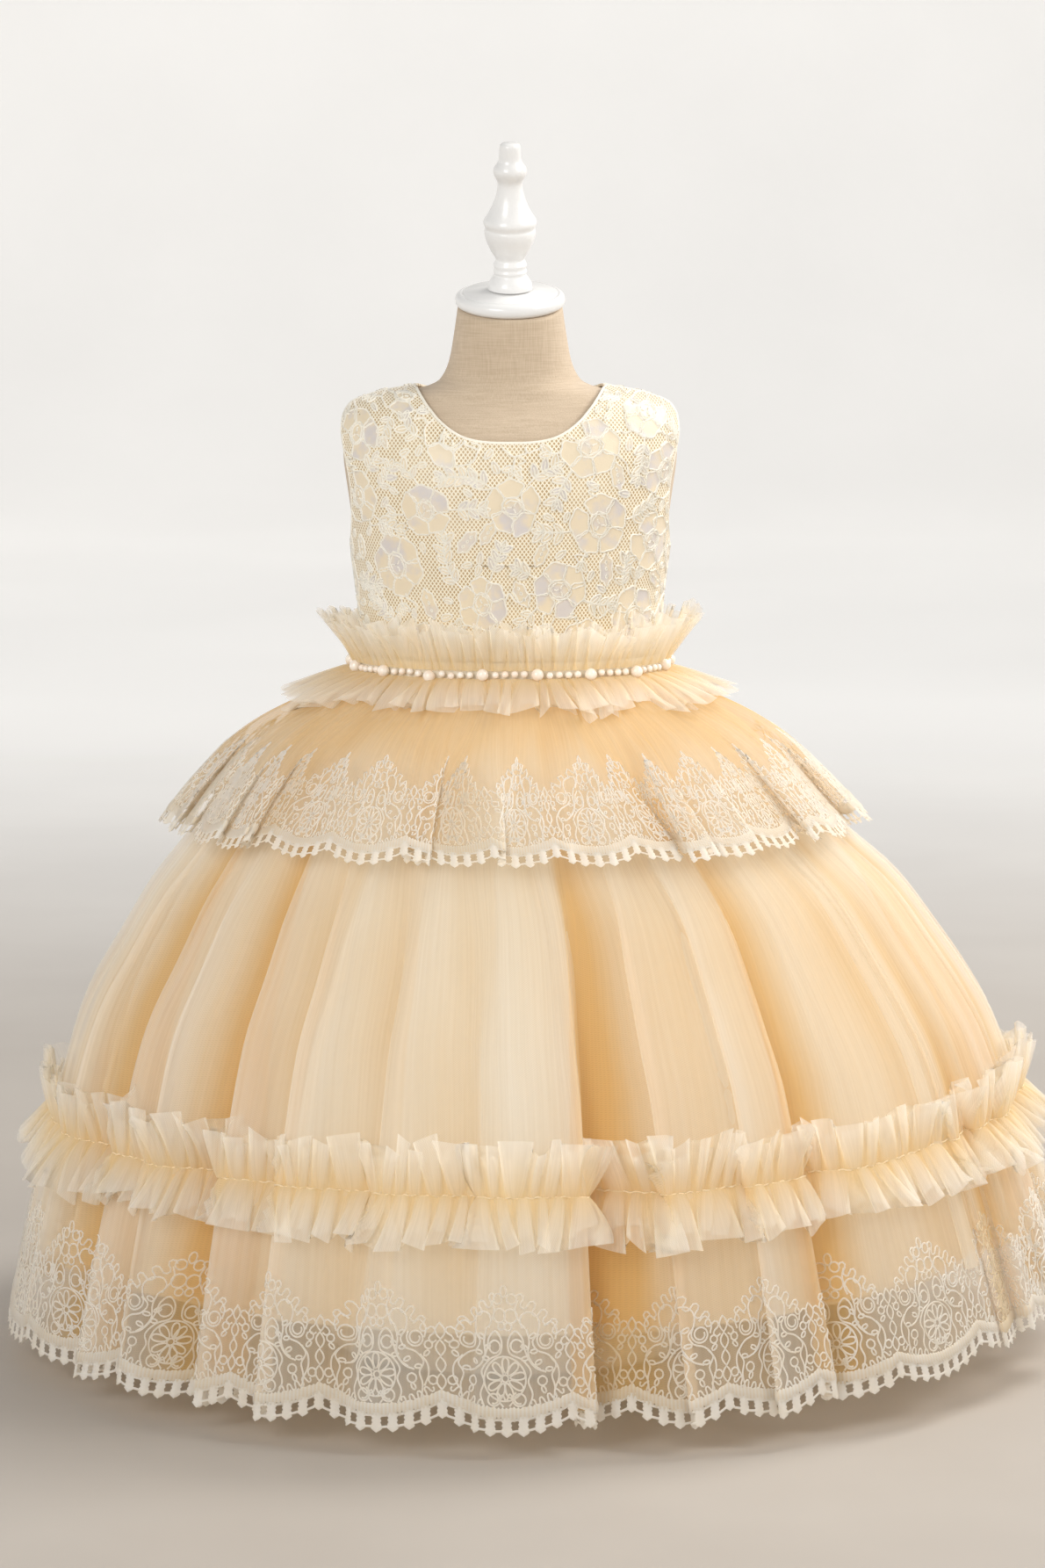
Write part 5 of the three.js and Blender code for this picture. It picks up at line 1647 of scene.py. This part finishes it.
def skirt_frill():
    def spot(angle, up):
        z = SKIRT_SEAM - HEM + up
        return outer_skirt(angle, z), normal(outer_skirt, angle, z)

    return Frill(lambda angle: outer_skirt(angle, np.full_like(angle, float(SKIRT_SEAM - HEM))), spot)


def even_reach(angles):
    return np.ones_like(angles)


def wide_at_sides(angles):
    """The waist's lower frill hangs closer at the front and the back than at the sides."""
    return 0.74 + 0.3 * np.abs(np.sin(np.radians(angles)))


def at_folds(angles):
    """The frill fans out at the edges of a deep fold and closes up inside it."""
    share = fold_at(SKIRT_FOLDS, (angles + 180) % 360 - 180)[0]
    fan = smooth(share, 0.0, 0.3) * (1 - smooth(share, 0.45, 0.9))
    return (1 + 0.75 * fan) * (1 - 0.7 * smooth(share, 0.6, 1.0))


ABOVE_WAIST, BELOW_WAIST, ON_SKIRT = waist_frill(WAIST + 2.4), waist_frill(WAIST - 2.4), skirt_frill()
# Strip, name, fullness (least and most share of its width that a pleat fills) and reach, then for each layer:
# pitch, rise, out at the seam, out at the free edge, depth, seed, curl, sway.
FRILL_LAYERS = [
    (ABOVE_WAIST, "waist_frill_upper", (0.7, 1.0), even_reach, [
        (6.6, 25, BAND_OUT + 2.0, 21, 3.8, 301, 1.2, 4.6),
        (7.4, 28, BAND_OUT + 1.2, 15, 3.6, 317, 1.3, 4.2),
    ]),
    (BELOW_WAIST, "waist_frill_lower", (0.7, 1.0), wide_at_sides, [
        (9.0, -16, BAND_OUT + 0.4, 38, 7.0, 401, 0.75, 5.0),
        (9.0, -22, BAND_OUT + 0.8, 33, 6.6, 417, 0.8, 4.6),
        (8.0, -14, BAND_OUT + 1.2, 27, 5.8, 431, 0.8, 4.2),
    ]),
    (ON_SKIRT, "skirt_frill_upper", (0.5, 0.95), at_folds, [
        (12.5, 26, 1.2, 10.5, 4.8, 501, 0.9, 3.2), (10.0, 22, 0.8, 4.0, 2.8, 517, 0.9, 1.8),
    ]),
    (ON_SKIRT, "skirt_frill_lower", (0.45, 0.9), at_folds, [
        (13.5, -28, 1.2, 11.5, 5.4, 601, 0.9, 3.4), (10.5, -24, 0.8, 4.5, 3.0, 617, 0.9, 1.8),
    ]),
]
for strip, strip_name, fullness, reach_share, layers in FRILL_LAYERS:
    for layer_number, measures in enumerate(layers, 1):
        frill_name = f"{strip_name}_{layer_number}"
        stands_for = (strip_name,) if layer_number == 1 else ()
        strip.layer(frill_name, fullness, reach_share, stands_for, *measures)


def gather_thread():
    """The shirring thread that holds the skirt's frill along its seam, dipping into each gather; its darker
    colour also paints the shade line between the two frills.
    """
    along = np.arange(0, ON_SKIRT.run[-1], 1.3)
    along = np.append(along, ON_SKIRT.run[-1])
    points, out = ON_SKIRT.spot(ON_SKIRT.angle_at(along), 0.0)
    dip = 0.55 * np.sin(along * 1.15) + 0.35 * np.sin(along * 0.41)
    points = points + out * (1.9 + dip)[:, None] + np.stack([0 * dip, 0 * dip, 0.4 * np.cos(along * 0.8)], -1)
    verts, quads = tubes([points], [out], *SHIRRING_CORD)
    return new_piece("skirt_frill_thread", verts, quads, material=GATHER_THREAD_AND_SHADE, slot="tulle")


gather_thread()

# ---------------------------------------------------------------- waist band and pearls


def band_piece():
    """The waist band under the pearls, its edges rounded over."""
    columns = 180
    angles = ring_columns(columns)
    inner, outer = BAND_IN, BAND_IN + BAND_WALL
    low, high = WAIST - BAND_HEIGHT / 2, WAIST + BAND_HEIGHT / 2
    section = [
        (inner, high - 0.3), (inner + 0.9, high), (outer - 0.9, high), (outer, high - 1.2), (outer, WAIST),
        (outer, low + 1.2), (outer - 0.9, low), (inner + 0.9, low), (inner, low + 0.3),
    ]
    ripple = 0.25 * np.sin(np.radians(140 * angles) + 2 * wobble(angles, 71))
    rows = []
    for reach, z in section:
        base, _ = waist_point(angles, np.full(columns, reach) + (ripple if reach > inner else 0))
        base[:, 2] = z
        rows.append(base)
    points = np.stack(rows)
    first = np.arange(columns)
    last = first + (len(section) - 1) * columns
    closing = np.stack([last, first, np.roll(first, -1), np.roll(last, -1)], -1)
    faces = np.concatenate([grid_quads(len(section), columns, True), closing])
    # One flat spot for every corner: the band is too narrow for the satin's weave to show.
    return new_piece(
        "waist_band_cloth", points.reshape(-1, 3), faces, uv=np.zeros((faces.size, 2)), material=LINING,
        slot="lining", replaces=("waist_band",),
    )


def ball(radius, segments, rings):
    """A sphere's points and faces, its poles drawn together into small triangles."""
    lat = np.pi * (np.arange(1, rings)) / rings
    skin = lathe(np.stack([np.sin(lat), np.cos(lat)], -1), segments)
    verts = np.concatenate([skin.reshape(-1, 3), [(0, 0, 1), (0, 0, -1)]]) * radius
    quads = grid_quads(rings - 1, segments, True)
    count = (rings - 1) * segments
    ends = np.arange(segments), np.arange(count - segments, count)
    tris = np.concatenate([fan(count, ends[0]), fan(count + 1, ends[1], flip=True)])
    return verts, quads, tris


PEARL_STEP, BIG_PEARL, SMALL_PEARL, SMALL_BETWEEN = 33, 3.75, 2.2, 4
BIG_ROOM = 9.5  # kept on the strand for each large pearl


def pearl_piece():
    """Large pearls with small ones between, threaded round the waist."""
    fine = np.linspace(-180, 180, 1441)
    path, _ = waist_point(fine, np.full_like(fine, BAND_OUT))
    run = run_length(path)
    groups = round(run[-1] / PEARL_STEP)
    pitch = run[-1] / groups
    local = np.random.default_rng(23)
    big, small = ball(BIG_PEARL, 22, 13), ball(SMALL_PEARL, 14, 9)
    verts, quads, tris, at = [], [], [], 0
    for g in range(groups):
        for k in range(SMALL_BETWEEN + 1):
            shape, radius = (big, BIG_PEARL) if k == 0 else (small, SMALL_PEARL)
            beside = pitch / 2 + (k - (SMALL_BETWEEN + 1) / 2) * (pitch - BIG_ROOM) / SMALL_BETWEEN
            place = pitch * g + (0 if k == 0 else beside)
            angle = np.interp(place, run, fine)
            centre = waist_point(np.array([angle]), np.array([BAND_OUT + radius * 0.92]))[0][0]
            centre[2] = WAIST + local.normal(0, 0.35)
            turn = local.uniform(0, 2 * np.pi)
            c, s = math.cos(turn), math.sin(turn)
            verts.append(shape[0] @ np.array([[c, s, 0], [-s, c, 0], [0, 0, 1]]) + centre)
            quads.append(shape[1] + at)
            tris.append(shape[2] + at)
            at += len(shape[0])
    return new_piece(
        "pearl_trim", np.concatenate(verts), np.concatenate(quads), np.concatenate(tris), material=PEARL,
        slot="pearl", replaces=("pearl_strand",),
    )


waist_band = band_piece()
pearls = pearl_piece()
